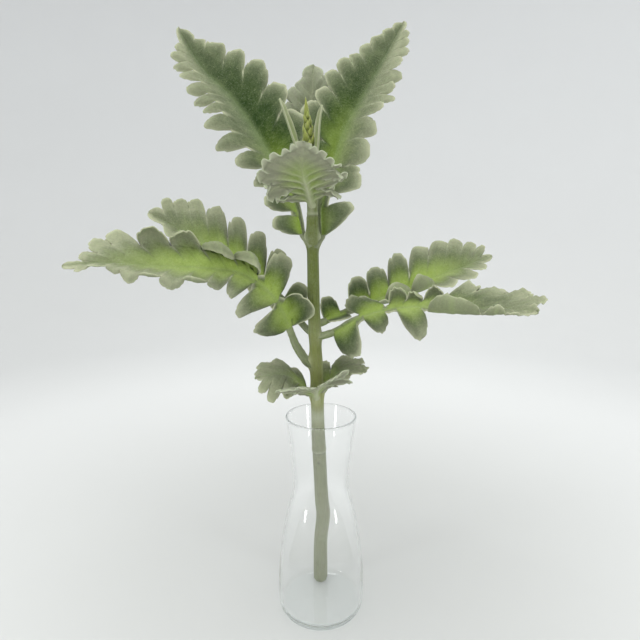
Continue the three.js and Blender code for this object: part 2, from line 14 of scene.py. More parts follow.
import bpy
import numpy as np
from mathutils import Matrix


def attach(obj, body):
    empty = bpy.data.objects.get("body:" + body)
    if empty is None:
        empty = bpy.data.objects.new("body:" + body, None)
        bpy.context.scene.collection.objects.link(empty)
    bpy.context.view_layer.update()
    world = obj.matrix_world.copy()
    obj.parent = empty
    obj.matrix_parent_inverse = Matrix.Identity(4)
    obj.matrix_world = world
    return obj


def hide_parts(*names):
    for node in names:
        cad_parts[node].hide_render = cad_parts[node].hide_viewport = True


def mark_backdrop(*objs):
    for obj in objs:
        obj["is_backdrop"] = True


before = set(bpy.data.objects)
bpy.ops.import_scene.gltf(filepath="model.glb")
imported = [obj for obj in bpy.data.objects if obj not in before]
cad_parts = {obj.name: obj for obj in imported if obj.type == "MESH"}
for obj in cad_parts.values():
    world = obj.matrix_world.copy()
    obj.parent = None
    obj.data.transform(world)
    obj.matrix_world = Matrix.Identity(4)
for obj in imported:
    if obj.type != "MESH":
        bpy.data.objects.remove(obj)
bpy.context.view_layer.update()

MM = 0.001  # metres
BODY = "root"

Point = tuple[float, float, float]
Pair = tuple[float, float]
Colour = tuple[float, float, float]
Teeth = tuple[tuple[float, ...], ...]

log = logging.getLogger("dusty_miller")


class Slot(Enum):
    """The finishes that the record names."""

    GLASS = "glass"
    STEM = "stem"
    GREEN_LEAF = "green_leaf"
    PALE_LEAF = "pale_leaf"
    YOUNG_LEAF = "young_leaf"
    BUD = "bud"


class Side(Enum):
    """The two halves of a blade, by the sign of the direction across the midrib."""

    LEFT = -1
    RIGHT = 1


# ---- Curves and small sums ----


def mix(start: Any, end: Any, share: Any) -> Any:
    """Part of the way from one number, flat point or array to another."""
    return start + (end - start) * share


def ease(value: Any) -> Any:
    """A smooth step from 0 to 1 over values from 0 to 1."""
    held = np.clip(value, 0.0, 1.0)
    return held * held * (3.0 - 2.0 * held)


def bell(offset: Any, width: Any) -> Any:
    """A smooth bump, 1 at an offset of 0 and near 0 past twice its width."""
    return np.exp(-((offset / width) ** 2))


def unit(vectors: np.ndarray) -> np.ndarray:
    """Vectors brought to a length of 1."""
    return vectors / np.maximum(np.linalg.norm(vectors, axis=-1, keepdims=True), 1e-12)


class SmoothLine:
    """A Catmull-Rom curve through points, read by mark or by share of its length."""

    STRETCHES: ClassVar[int] = 200  # its length is measured over this many

    def __init__(self, points: Sequence[Sequence[float]], held_ends: bool = False) -> None:
        """Lays the curve.

        Args:
            points: The points that it passes through, in two or three dimensions.
            held_ends: Whether the end points are doubled, not run on, to bend the ends.
        """
        inner = np.array(points, float)
        before = inner[0] if held_ends else 2 * inner[0] - inner[1]
        after = inner[-1] if held_ends else 2 * inner[-1] - inner[-2]
        self.points = np.vstack([before, inner, after])
        self.marks = np.linspace(0.0, 1.0, self.STRETCHES + 1)
        steps = np.linalg.norm(np.diff(self.at(self.marks), axis=0), axis=1)
        self.run = np.concatenate([[0.0], np.cumsum(steps)])
        self.length = float(self.run[-1])

    def _terms(self, mark: Any) -> tuple[np.ndarray, list[np.ndarray]]:
        """The cubic of each mark's span.

        Args:
            mark: Marks from 0 to 1.

        Returns:
            The place inside the span at each mark, and the span's four factors.
        """
        spans = len(self.points) - 3
        place = np.clip(np.asarray(mark, float), 0.0, 1.0) * spans
        span = np.minimum(place.astype(int), spans - 1)
        a, b, c, d = (self.points[span + i] for i in range(4))
        factors = [2 * b, c - a, 2 * a - 5 * b + 4 * c - d, 3 * (b - c) + d - a]
        return (place - span)[..., None], factors

    def at(self, mark: Any) -> np.ndarray:
        """Points at marks from 0 to 1, with the given points evenly spread over them."""
        t, (f0, f1, f2, f3) = self._terms(mark)
        return 0.5 * (f0 + t * (f1 + t * (f2 + t * f3)))

    def heading(self, mark: Any) -> np.ndarray:
        """Unit directions along the curve at marks from 0 to 1."""
        t, (_, f1, f2, f3) = self._terms(mark)
        return unit(f1 + t * (2 * f2 + 3 * t * f3))

    def mark_of(self, share: Any) -> np.ndarray:
        """The marks at shares of the curve's length."""
        return np.interp(np.asarray(share) * self.length, self.run, self.marks)


# ---- Meshes ----


@dataclass
class Skin:
    """A closed surface: points in millimetres, faces, and masks from 0 to 1 on its points."""

    points: np.ndarray
    faces: Any
    masks: dict[str, np.ndarray]

    def piece(self, name: str, material: bpy.types.Material, sharp: float | None = None) -> bpy.types.Object:
        """Makes the Blender object.

        Args:
            name: The name of the piece.
            material: Its finish.
            sharp: Edges that turn by more than this many degrees stay sharp.

        Returns:
            The new object, smooth shaded, with a float attribute for each mask.
        """
        mesh = bpy.data.meshes.new(name)
        faces = self.faces.tolist() if isinstance(self.faces, np.ndarray) else self.faces
        mesh.from_pydata((self.points * MM).tolist(), [], faces)
        for mask, values in self.masks.items():
            layer = mesh.attributes.new(mask, "FLOAT", "POINT")
            layer.data.foreach_set("value", np.asarray(values, np.float32))
        mesh.shade_smooth()
        if sharp is not None:
            mesh.set_sharp_from_angle(angle=math.radians(sharp))
        mesh.materials.append(material)
        piece = bpy.data.objects.new(name, mesh)
        bpy.context.scene.collection.objects.link(piece)
        return piece


def joined(skins: Sequence[Skin]) -> Skin:
    """Several skins as one.

    Args:
        skins: The skins, all with the same masks.

    Returns:
        One skin with all their points and faces.
    """
    starts = np.cumsum([0] + [len(skin.points) for skin in skins])
    faces = [tuple(corner + start for corner in face) for skin, start in zip(skins, starts)
             for face in skin.faces]
    masks = {name: np.concatenate([skin.masks[name] for skin in skins]) for name in skins[0].masks}
    return Skin(np.vstack([skin.points for skin in skins]), faces, masks)


def lofted(rings: np.ndarray, first: Sequence[float], last: Sequence[float]) -> Skin:
    """A closed skin over rings of points.

    Args:
        rings: Points by ring and by place round it, which turn left seen from the last ring.
        first: The point that closes the first ring.
        last: The point that closes the last ring.

    Returns:
        The skin, with the rings' points first, then the two closing points.
    """
    count, around, _ = rings.shape
    faces = []
    for side in range(around):
        beside = (side + 1) % around
        faces.append((count * around, beside, side))
        faces.append((count * around + 1, (count - 1) * around + side, (count - 1) * around + beside))
        for low in range(0, (count - 1) * around, around):
            faces.append((low + side, low + beside, low + around + beside, low + around + side))
    points = np.vstack([rings.reshape(-1, 3), first, last])
    return Skin(points, faces, {})


def face_normals(points: np.ndarray, faces: np.ndarray) -> np.ndarray:
    """The normal of each triangle, twice its area long."""
    a, b, c = (points[faces[:, corner]] for corner in range(3))
    return np.cross(b - a, c - a)


def point_normals(points: np.ndarray, faces: np.ndarray) -> np.ndarray:
    """Unit normals at the points of a sheet of triangles.

    Args:
        points: The points.
        faces: The triangles, as numbers of their corners.

    Returns:
        One normal for each point.
    """
    turned = face_normals(points, faces)
    normals = np.zeros_like(points)
    for corner in range(3):
        np.add.at(normals, faces[:, corner], turned)
    return unit(normals)


class BladeEdge(NamedTuple):
    """The short steps of a blade's edge: their middles, the ways out from them and their lengths."""

    middle: np.ndarray
    out: np.ndarray
    step: np.ndarray


@dataclass(frozen=True)
class Fuzz:
    """Short hairs on a skin: fine closed spikes that lean at random."""

    per_area: float  # hairs on a square millimetre
    per_edge: float  # hairs on a millimetre of a blade's edge
    shortest: float = 0.45
    longest: float = 1.0
    thickness: float = 0.07
    sink: float = 0.08  # how deep the roots stand in the skin
    lean: float = 55.0  # how far hairs lean from upright, at most
    slant: float = 0.3  # keeps a spike's sides off the direction that it leans in

    def grow(self, skin: Skin, seed: int, edge: BladeEdge) -> Skin:
        """Grows the hairs.

        Args:
            skin: The skin that they stand on, made of triangles.
            seed: Starts the random draws.
            edge: The blade's edge.

        Returns:
            The hairs as one skin.
        """
        draw = np.random.default_rng(seed)
        normals = face_normals(skin.points, skin.faces)
        areas = np.linalg.norm(normals, axis=1) / 2
        count = int(areas.sum() * self.per_area)
        chosen = draw.choice(len(areas), count, p=areas / areas.sum())
        weights = draw.dirichlet((1, 1, 1), count)
        on_faces = (skin.points[skin.faces[chosen]] * weights[:, :, None]).sum(axis=1)
        steps = len(edge.middle)
        places = draw.integers(0, steps, int(steps * self.per_edge))
        slide = draw.uniform(-0.5, 0.5, (len(places), 1))
        roots = np.vstack([on_faces, edge.middle[places] + edge.step[places] * slide])
        out = np.vstack([unit(normals[chosen]), edge.out[places]])
        return self._spikes(roots, out, draw)

    def _spikes(self, roots: np.ndarray, out: np.ndarray, draw: np.random.Generator) -> Skin:
        """One closed three-sided spike for each root.

        Args:
            roots: Where the hairs stand.
            out: The direction out of the skin at each root.
            draw: Gives the random lean, turn and length.

        Returns:
            The spikes, with a mask that is 1 at their tips.
        """
        count = len(roots)
        sideways = unit(np.cross(out, unit(draw.normal(size=(count, 3)))))
        lean = np.radians(draw.uniform(0.0, self.lean, (count, 1)))
        along = out * np.cos(lean) + sideways * np.sin(lean)
        length = draw.uniform(self.shortest, self.longest, (count, 1))
        across = unit(np.cross(along, out + self.slant * sideways + 1e-3))
        beside = np.cross(along, across)
        foot = roots - along * self.sink
        turns = np.radians((0.0, 120.0, 240.0))
        ring = [foot + self.thickness / 2 * (across * math.cos(t) + beside * math.sin(t)) for t in turns]
        points = np.stack([*ring, roots + along * length], axis=1).reshape(-1, 3)
        spike = np.array([(0, 1, 3), (1, 2, 3), (2, 0, 3), (0, 2, 1)])
        faces = (spike[None] + 4 * np.arange(count)[:, None, None]).reshape(-1, 3)
        tip = np.tile((0.0, 0.0, 0.0, 1.0), count)
        return Skin(points, faces, {"tip": tip})


# ---- Shader wiring ----


class Wiring:
    """Adds nodes to one shader tree and links them in few words."""

    def __init__(self, tree: bpy.types.NodeTree) -> None:
        """Keeps the tree that the nodes go into."""
        self.tree = tree

    def feed(self, socket: bpy.types.NodeSocket, value: Any) -> None:
        """Links a socket to another, or sets its value.

        Args:
            socket: The input.
            value: An output to link, or a plain value. A colour gets an alpha of 1.
        """
        if isinstance(value, bpy.types.NodeSocket):
            self.tree.links.new(value, socket)
        elif socket.type == "RGBA":
            socket.default_value = (*value[:3], 1.0)
        else:
            socket.default_value = value

    def node(self, kind: str, inputs: dict[Any, Any] | None = None, **settings: Any) -> bpy.types.Node:
        """Adds a node.

        Args:
            kind: Its type, without the leading words that all shader nodes share.
            inputs: Values or sockets for its inputs, by name or number.
            settings: Its own settings.

        Returns:
            The new node.
        """
        node = self.tree.nodes.new(f"ShaderNode{kind}")
        for name, value in settings.items():
            setattr(node, name, value)
        for name, value in (inputs or {}).items():
            self.feed(node.inputs[name], value)
        return node

    def sum(self, operation: str, *values: Any, clamp: bool = False) -> bpy.types.NodeSocket:
        """One step of arithmetic on numbers or sockets."""
        return self.node("Math", dict(enumerate(values)), operation=operation, use_clamp=clamp).outputs[0]

    def steps(self, value: Any, *moves: tuple[Any, ...], clamp: bool = False) -> bpy.types.NodeSocket:
        """Several steps of arithmetic in a row.

        Args:
            value: The number or socket to start from.
            moves: Each an operation and the values that follow the first one.
            clamp: Whether the result is held between 0 and 1.

        Returns:
            The result's socket.
        """
        for operation, *rest in moves:
            value = self.sum(operation, value, *rest)
        return self.sum("ADD", value, 0.0, clamp=True) if clamp else value

    def blend(self, share: Any, under: Any, over: Any, how: str = "MIX") -> bpy.types.NodeSocket:
        """One colour over another, by a share from 0 to 1."""
        node = self.node("Mix", {0: share, 6: under, 7: over}, data_type="RGBA", blend_type=how)
        return node.outputs[2]

    def mask(self, name: str) -> bpy.types.NodeSocket:
        """A mask of the mesh, from 0 to 1."""
        return self.node("Attribute", attribute_name=name).outputs["Fac"]

    def place(self, stretch: Point = (1.0, 1.0, 1.0)) -> bpy.types.NodeSocket:
        """Places on the piece in metres, stretched along its axes."""
        spot = self.node("TexCoord").outputs["Object"]
        return self.node("Mapping", {"Vector": spot, "Scale": stretch}).outputs[0]

    def noise(self, place: Any, scale: Any, detail: float = 2.0, rough: float = 0.5) -> bpy.types.NodeSocket:
        """Soft noise from 0 to 1."""
        inputs = {"Vector": place, "Scale": scale, "Detail": detail, "Roughness": rough}
        return self.node("TexNoise", inputs).outputs[0]

    def bump(self, height: Any, depth: float, strength: float = 1.0) -> bpy.types.NodeSocket:
        """A normal from a height, with the depth in millimetres."""
        inputs = {"Height": height, "Distance": depth * MM, "Strength": strength}
        return self.node("Bump", inputs).outputs[0]


class Effect:
    """A shader node group that several finishes place with values of their own."""

    def __init__(self, name: str, inputs: dict[str, tuple[str, Any]], outputs: dict[str, str]) -> None:
        """Makes the group with its sockets.

        Args:
            name: The group's name.
            inputs: The kind and usual value of each input.
            outputs: The kind of each output.
        """
        self.tree = bpy.data.node_groups.new(name, "ShaderNodeTree")
        for label, (kind, usual) in inputs.items():
            socket = self.tree.interface.new_socket(label, in_out="INPUT", socket_type=f"NodeSocket{kind}")
            socket.default_value = (*usual, 1.0) if kind == "Color" else usual
        for label, kind in outputs.items():
            self.tree.interface.new_socket(label, in_out="OUTPUT", socket_type=f"NodeSocket{kind}")
        self.wiring = Wiring(self.tree)
        self.given = self.tree.nodes.new("NodeGroupInput").outputs
        self.result = self.tree.nodes.new("NodeGroupOutput").inputs

    def put(self, label: str, value: Any) -> None:
        """Sends a value to one of the outputs."""
        self.wiring.feed(self.result[label], value)

    def placed(self, wiring: Wiring, **values: Any) -> bpy.types.NodeOutputs:
        """Places the group in a tree.

        Args:
            wiring: The wiring of that tree.
            values: Values or sockets for its inputs, by their names in small letters.

        Returns:
            The outputs of the placed group.
        """
        node = wiring.node("Group", node_tree=self.tree)
        for label, value in values.items():
            wiring.feed(node.inputs[label.capitalize()], value)
        return node.outputs


def grey(wiring: Wiring, value: bpy.types.NodeSocket) -> bpy.types.NodeSocket:
    """A number as a grey, for multiplying a colour with."""
    return wiring.node("CombineXYZ", {0: value, 1: value, 2: value}).outputs[0]


@dataclass(frozen=True)
class Matting:
    """Matted short hairs: three noises, each by its scale to a metre and its detail."""

    tufts: Pair = (750.0, 3.0)
    fibres: Pair = (2600.0, 2.0)
    patches: Pair = (110.0, 3.0)
    rough: float = 0.6
    fine: float = 0.5  # height of the fibres to that of the tufts

    def effect(self) -> Effect:
        """Builds the group.

        Returns:
            The group, with a height and a mottling mask round a half.
        """
        effect = Effect("felt", {"Scale": ("Float", 1.0)}, {"Height": "Float", "Mottle": "Float"})
        wiring, place = effect.wiring, effect.wiring.place()
        tufts, fibres, patches = (
            wiring.noise(place, wiring.sum("MULTIPLY", effect.given["Scale"], scale), detail, self.rough)
            for scale, detail in (self.tufts, self.fibres, self.patches))
        effect.put("Height", wiring.sum("ADD", tufts, wiring.sum("MULTIPLY", fibres, self.fine)))
        mottle = wiring.sum("ADD", wiring.sum("MULTIPLY", patches, 0.3), wiring.sum("MULTIPLY", tufts, 0.3))
        effect.put("Mottle", wiring.sum("MULTIPLY_ADD", fibres, 0.4, mottle))
        return effect


@dataclass(frozen=True)
class BladeColours:
    """How the colours of a felted blade lie over each other, by the masks of its mesh."""

    NAMES: ClassVar[tuple[str, ...]] = ("Blade", "Young", "Felt", "Edge", "Under", "Vein", "Band")
    USUAL: ClassVar[Colour] = (0.5, 0.5, 0.5)

    ragged_green: float = 0.6  # how far the mottling shifts where the young green ends
    ragged_felt: float = 0.9
    frosting: float = 0.35  # how far the palest felt goes to the colour of the edge
    veining: float = 0.2
    green_under: float = 0.85
    mottling: float = 1.1
    rim: float = 0.85

    def effect(self, felt: Effect) -> Effect:
        """Builds the group.

        Args:
            felt: The group of the matted hairs.

        Returns:
            The group, with a colour and a height.
        """
        inputs = {name: ("Color", self.USUAL) for name in self.NAMES}
        effect = Effect("felted blade", inputs, {"Colour": "Color", "Height": "Float"})
        wiring, given = effect.wiring, effect.given
        matting = felt.placed(wiring, scale=1.0)
        patchy = wiring.sum("SUBTRACT", matting["Mottle"], 0.5)
        fresh = wiring.sum("MULTIPLY_ADD", patchy, self.ragged_green, wiring.mask("fresh"), clamp=True)
        colour = wiring.blend(fresh, given["Blade"], given["Young"])
        # The felt mask partly carries painted light: each half's felt paints pale sheen on one half and
        # leaves painted shade on the other.
        felt_and_painted_sheen = wiring.sum("MULTIPLY_ADD", patchy, self.ragged_felt, wiring.mask("felt"), clamp=True)
        frost = wiring.sum("MULTIPLY", wiring.mask("frost"), self.frosting)
        colour = wiring.blend(felt_and_painted_sheen, colour, wiring.blend(frost, given["Felt"], given["Edge"]))
        colour = wiring.blend(wiring.mask("band"), colour, given["Band"])
        vein = wiring.sum("MULTIPLY", wiring.mask("vein"), self.veining)
        colour = wiring.blend(vein, colour, given["Vein"])
        under = wiring.blend(wiring.sum("MULTIPLY", fresh, self.green_under), given["Under"], given["Young"])
        under = wiring.blend(wiring.mask("vein"), under, given["Vein"])
        colour = wiring.blend(wiring.mask("under"), colour, under)
        tone = wiring.steps(patchy, ("MULTIPLY", self.mottling), ("ADD", 1.0))
        colour = wiring.blend(1.0, colour, grey(wiring, tone), "MULTIPLY")
        rim = wiring.sum("MULTIPLY", wiring.mask("rim"), self.rim)
        effect.put("Colour", wiring.blend(rim, colour, given["Edge"]))
        effect.put("Height", matting["Height"])
        return effect


@dataclass(frozen=True)
class Groups:
    """The shared groups that finishes place."""

    felt: Effect
    blade: Effect

    @classmethod
    def built(cls) -> "Groups":
        """Builds them."""
        felt = Matting().effect()
        return cls(felt, BladeColours().effect(felt))


# ---- Finishes ----


@dataclass(frozen=True)
class Finish:
    """A material on a Principled shader, which each finish sets in its own way."""

    name: str

    def surface(self, wiring: Wiring, groups: Groups) -> dict[str, Any]:
        """What goes into the shader.

        Args:
            wiring: The material's wiring.
            groups: The shared groups.

        Returns:
            Values and sockets by input.
        """
        raise NotImplementedError

    def material(self, groups: Groups) -> bpy.types.Material:
        """Makes the material.

        Args:
            groups: The shared groups.

        Returns:
            The material.
        """
        material = bpy.data.materials.new(self.name)
        material.use_nodes = True
        wiring = Wiring(material.node_tree)
        shader = material.node_tree.nodes["Principled BSDF"]
        for name, value in self.surface(wiring, groups).items():
            wiring.feed(shader.inputs[name], value)
        return material


@dataclass(frozen=True)
class FeltedFinish(Finish):
    """A leaf: green where the felt is thin, grey out on the lobes, pale along the edge, with painted light on
    its halves: pale sheen where a half has more felt, dark green shade where it has less.
    """

    blade: Colour
    young: Colour
    felt: Colour
    edge: Colour
    under: Colour
    vein: Colour
    band: Colour

    def surface(self, wiring: Wiring, groups: Groups) -> dict[str, Any]:
        """The felt's colours, from the group that mixes them.

        Args:
            wiring: The material's wiring.
            groups: The shared groups.

        Returns:
            Values and sockets by input.
        """
        look = groups.blade.placed(wiring, blade=self.blade, young=self.young, felt=self.felt, edge=self.edge,
                                   under=self.under, vein=self.vein, band=self.band)
        return {
            "Base Color": look["Colour"], "Normal": wiring.bump(look["Height"], depth=0.16, strength=0.6),
            "Roughness": 0.9, "Specular IOR Level": 0.12, "Sheen Weight": 0.05, "Sheen Roughness": 0.5,
            "Sheen Tint": (0.92, 0.95, 0.9), "Subsurface Weight": 0.12, "Subsurface Scale": 0.001,
            "Subsurface Radius": (0.5, 1.0, 0.3),
        }


@dataclass(frozen=True)
class HairFinish(Finish):
    """Fine pale hairs, whiter to their tips."""

    root: Colour
    tip: Colour

    def surface(self, wiring: Wiring, groups: Groups) -> dict[str, Any]:
        """A colour shaded along each hair.

        Args:
            wiring: The material's wiring.
            groups: The shared groups.

        Returns:
            Values and sockets by input.
        """
        return {
            "Base Color": wiring.blend(wiring.mask("tip"), self.root, self.tip),
            "Roughness": 0.6, "Specular IOR Level": 0.3, "Subsurface Weight": 0.3,
            "Subsurface Scale": 0.0004, "Subsurface Radius": (1.0, 1.0, 0.8),
        }


@dataclass(frozen=True)
class BarkFinish(Finish):
    """The stem: sage where it is old, green above, with lengthwise streaks and pale joints."""

    old: Colour
    green: Colour
    bloom: Colour
    pith: Colour
    scar: Colour
    streaked: Point = (1.0, 1.0, 0.06)  # the streaks are this much longer than wide
    streaks: float = 900.0  # to a metre
    downy_from: float = 0.46  # the down shows where the mottling is above this

    def surface(self, wiring: Wiring, groups: Groups) -> dict[str, Any]:
        """Colours on the masks of the stem's mesh.

        Args:
            wiring: The material's wiring.
            groups: The shared groups.

        Returns:
            Values and sockets by input.
        """
        matting = groups.felt.placed(wiring, scale=1.2)
        streaks = wiring.noise(wiring.place(self.streaked), self.streaks, detail=3.0, rough=0.6)
        colour = wiring.blend(wiring.mask("old"), self.green, self.old)
        shade = wiring.steps(streaks, ("MULTIPLY", 1.0), ("ADD", 0.5))
        colour = wiring.blend(0.7, colour, grey(wiring, shade), "MULTIPLY")
        down = wiring.steps(matting["Mottle"], ("SUBTRACT", self.downy_from), ("MULTIPLY", 4.0), clamp=True)
        bloom = wiring.sum("ADD", wiring.sum("MULTIPLY", down, 0.3), wiring.mask("bloom"), clamp=True)
        colour = wiring.blend(bloom, colour, self.bloom)
        colour = wiring.blend(wiring.mask("scar"), colour, self.scar)
        colour = wiring.blend(wiring.mask("pith"), colour, self.pith)
        height = wiring.sum("ADD", matting["Height"], wiring.sum("MULTIPLY", streaks, 1.5))
        return {
            "Base Color": colour, "Normal": wiring.bump(height, depth=0.22, strength=0.6),
            "Roughness": 0.72, "Specular IOR Level": 0.3, "Sheen Weight": 0.25, "Sheen Roughness": 0.5,
            "Sheen Tint": (0.9, 0.95, 0.86), "Subsurface Weight": 0.12, "Subsurface Scale": 0.0015,
            "Subsurface Radius": (0.5, 1.0, 0.3),
        }


@dataclass(frozen=True)
class BudFinish(Finish):
    """The bud's scales: yellow-green, greener at their feet and pale with down at their tips."""

    foot: Colour
    tip: Colour
    down: Colour
    downy_from: float = 0.4  # the down shows where the mottling is above this

    def surface(self, wiring: Wiring, groups: Groups) -> dict[str, Any]:
        """Colours on each scale's own mask.

        Args:
            wiring: The material's wiring.
            groups: The shared groups.

        Returns:
            Values and sockets by input.
        """
        matting = groups.felt.placed(wiring, scale=1.8)
        colour = wiring.blend(wiring.mask("along"), self.foot, self.tip)
        down = wiring.steps(matting["Mottle"], ("SUBTRACT", self.downy_from), ("MULTIPLY", 2.2), clamp=True)
        colour = wiring.blend(wiring.sum("MULTIPLY", down, 0.5), colour, self.down)
        return {
            "Base Color": colour, "Normal": wiring.bump(matting["Height"], depth=0.1, strength=0.6),
            "Roughness": 0.8, "Specular IOR Level": 0.25, "Sheen Weight": 0.4, "Sheen Roughness": 0.45,
            "Subsurface Weight": 0.3, "Subsurface Scale": 0.0012, "Subsurface Radius": (0.6, 1.0, 0.25),
        }


@dataclass(frozen=True)
class GlassFinish(Finish):
    """Clear glass that darkens a little where one looks along its wall."""

    tint: Colour
    density: float  # a metre
    clear: Colour = (0.998, 1.0, 0.999)  # of the light that goes straight on
    bounces: int = 2  # light that has turned more often goes straight on

    def surface(self, wiring: Wiring, groups: Groups) -> dict[str, Any]:
        """Plain values for clear glass.

        Args:
            wiring: The material's wiring.
            groups: The shared groups.

        Returns:
            Values and sockets by input.
        """
        return {
            "Base Color": (1.0, 1.0, 1.0), "Roughness": 0.0, "IOR": 1.5, "Transmission Weight": 1.0,
            "Coat Weight": 0.3, "Coat Roughness": 0.03,
        }

    def material(self, groups: Groups) -> bpy.types.Material:
        """Makes the material: clear to the lights' shadows, so that it casts only a faint one.

        Args:
            groups: The shared groups.

        Returns:
            The material.
        """
        material = super().material(groups)
        wiring, nodes = Wiring(material.node_tree), material.node_tree.nodes
        shader, output = nodes["Principled BSDF"], nodes["Material Output"]
        through = wiring.node("BsdfTransparent", {"Color": self.clear})
        ray = wiring.node("LightPath").outputs
        late = wiring.sum("GREATER_THAN", ray["Ray Depth"], self.bounces + 0.5)
        plain = wiring.steps(ray["Is Shadow Ray"], ("MAXIMUM", late), ("MAXIMUM", ray["Is Diffuse Ray"]))
        both = wiring.node("MixShader", {0: plain, 1: shader.outputs[0], 2: through.outputs[0]})
        wiring.feed(output.inputs["Surface"], both.outputs[0])
        murk = wiring.node("VolumeAbsorption", {"Color": self.tint, "Density": self.density})
        wiring.feed(output.inputs["Volume"], murk.outputs[0])
        return material


@dataclass(frozen=True)
class PaperFinish(Finish):
    """The studio's seamless paper: paler where less light falls on it, with a soft painted glow."""

    floor: Colour
    sweep: Colour
    wall: Colour
    sweep_from: Pair = (0.12, 0.75)  # metres from the middle of the floor
    wall_from: Pair = (1.4, 2.3)
    glow: Point = (0.1, 1.0, 0.0)  # the middle of a paler patch, a painted pool of light
    glow_reach: float = 1.1
    glow_rise: float = 0.11
    tilt: float = 0.045  # painted light: how much paler it gets to the right, to a metre
    clouds: float = 0.02  # how uneven it is

    def surface(self, wiring: Wiring, groups: Groups) -> dict[str, Any]:
        """A matt and nearly even colour.

        Args:
            wiring: The material's wiring.
            groups: The shared groups.

        Returns:
            Values and sockets by input.
        """
        place = wiring.place()
        away = wiring.node("VectorMath", {0: place}, operation="LENGTH").outputs["Value"]
        paper: Any = self.floor
        for (near, far), colour in ((self.sweep_from, self.sweep), (self.wall_from, self.wall)):
            share = wiring.node("MapRange", {0: away, 1: near, 2: far}, interpolation_type="SMOOTHSTEP")
            paper = wiring.blend(share.outputs[0], paper, colour)
        # A painted pool of light round the glow's middle, and painted light that grows to the right
        off = wiring.node("VectorMath", {0: place, 1: self.glow}, operation="DISTANCE").outputs["Value"]
        inputs = {0: off, 1: 0.0, 2: self.glow_reach, 3: self.glow_rise, 4: 0.0}
        glow = wiring.node("MapRange", inputs, interpolation_type="SMOOTHSTEP").outputs[0]
        right = wiring.node("SeparateXYZ", {0: place}).outputs["X"]
        clouds = wiring.noise(place, scale=6.0)
        tone = wiring.steps(clouds, ("MULTIPLY", self.clouds), ("ADD", 1 - self.clouds / 2), ("ADD", glow))
        tone = wiring.sum("MULTIPLY_ADD", right, self.tilt, tone)
        return {
            "Base Color": wiring.blend(1.0, paper, grey(wiring, tone), "MULTIPLY"), "Roughness": 0.95,
            "Specular IOR Level": 0.1,
        }


# ---- The stem's line ----


@dataclass(frozen=True)
class StemLine:
    """Where the stem runs, how thick it is, and where leaves sit on it."""

    MARKS: ClassVar[int] = 2001  # places along it that a height is looked up among

    line: tuple[Point, ...] = (
        (-0.4, 26.2, 5.5), (-0.3, 14, 52), (1.9, 4.6, 84), (0.5, -0.8, 104), (-1.6, -15, 154),
        (-2.6, -23.3, 182), (-3.6, -31.4, 226), (-5.4, -38.5, 278), (-6.2, -43, 328),
        (-6.4, -44.6, 352), (-8, -46, 386),
    )
    # height and radius: the lower piece, the upper piece pushed over it and the thin top shoot
    radii: tuple[Pair, ...] = (
        (4, 6.6), (90, 6), (154, 5.4), (156, 5.6), (187, 5.2), (226, 4.8), (258, 4.45), (300, 4.2),
        (344, 4.1), (347, 3.4), (390, 2.8),
    )

    def curve(self) -> SmoothLine:
        """The stem's middle line."""
        return SmoothLine(self.line)

    def radius(self, height: Any) -> Any:
        """The radius at heights, between the listed ones."""
        return np.interp(height, *np.array(self.radii, float).T)

    def seat(self, height: float, direction: float, stand_off: float) -> np.ndarray:
        """Where a stalk starts.

        Args:
            height: Its height on the stem.
            direction: The way it looks out from the stem.
            stand_off: How far it is from the stem's surface.

        Returns:
            The point.
        """
        curve = self.curve()
        marks = np.linspace(0.0, 1.0, self.MARKS)
        mark = np.interp(height, curve.at(marks)[:, 2], marks)
        away = self.radius(height) + stand_off
        angle = math.radians(direction)
        x, y, _ = curve.at(mark)
        return np.array([x + away * math.cos(angle), y + away * math.sin(angle), height])


# ---- Leaf forms ----


@dataclass(frozen=True)
class Half:
    """One half of a blade, on one side of its midrib.

    fold is how far it is folded up from the midrib, and curl how far it turns up on its way
    out, both at the foot and at the tip. Each of the teeth, from foot to tip, is a share of
    the midrib, the reach from it, how far out the slit past it starts, how far it is bent up
    and how much further it leans. A reach of 0 is a stretch of narrow wing. The last one is
    the blade's tip. felt is how thickly the felt covers it, 0 to 1. It is partly painted
    light: a high value paints a half pale grey, as the sheen of felt seen at a grazing angle,
    and a low one leaves a half dark green, as painted shade.
    """

    fold: Pair
    curl: Pair
    teeth: Teeth
    # felt is partly painted light: pale sheen on a half where it is high, dark green painted shade where it
    # is low
    felt: float = 0.1


@dataclass(frozen=True)
class LeafForm:
    """One leaf: where it sits, how its midrib runs, and its two halves.

    foot is the height, direction and stand-off of the stalk's seat on the stem, face is
    where the upper face looks at the foot and at the tip, stalk is the length of bare stalk,
    rib is the stalk's half width at its foot, and lean is how far the teeth point forward.
    fresh is how bright the young green is at the foot, and how far along the blade it goes.
    band is how clearly a pale band follows the midrib, and half its width. frost is how pale
    the felt is, 0 to 1, crimp how far the very edge is puckered up and down, puff how far the
    blade swells between its veins, and smooth how far these are lost under the felt, 0 to 1,
    and from which share of the leaf's length on.
    """

    name: str
    slot: Slot
    foot: Point
    midrib: tuple[Point, ...]
    face: tuple[Point, Point]
    stalk: float
    rib: float
    lean: Pair
    left: Half
    right: Half
    fresh: Pair = (1.0, 0.6)
    band: Pair = (0.3, 3.0)
    frost: float = 0.1
    crimp: float = 0.25
    smooth: Pair = (0.0, 0.4)
    puff: float = 0.8
    small: bool = False


# a whole-edged half of a narrow young leaf
YOUNG_HALF = Half((30, 30), (0, 0), ((7, 0, 2.8), (8, 0, 4.1), (8, 0, 4.2), (8, 0, 3.2), (11, 0.6, 0)))

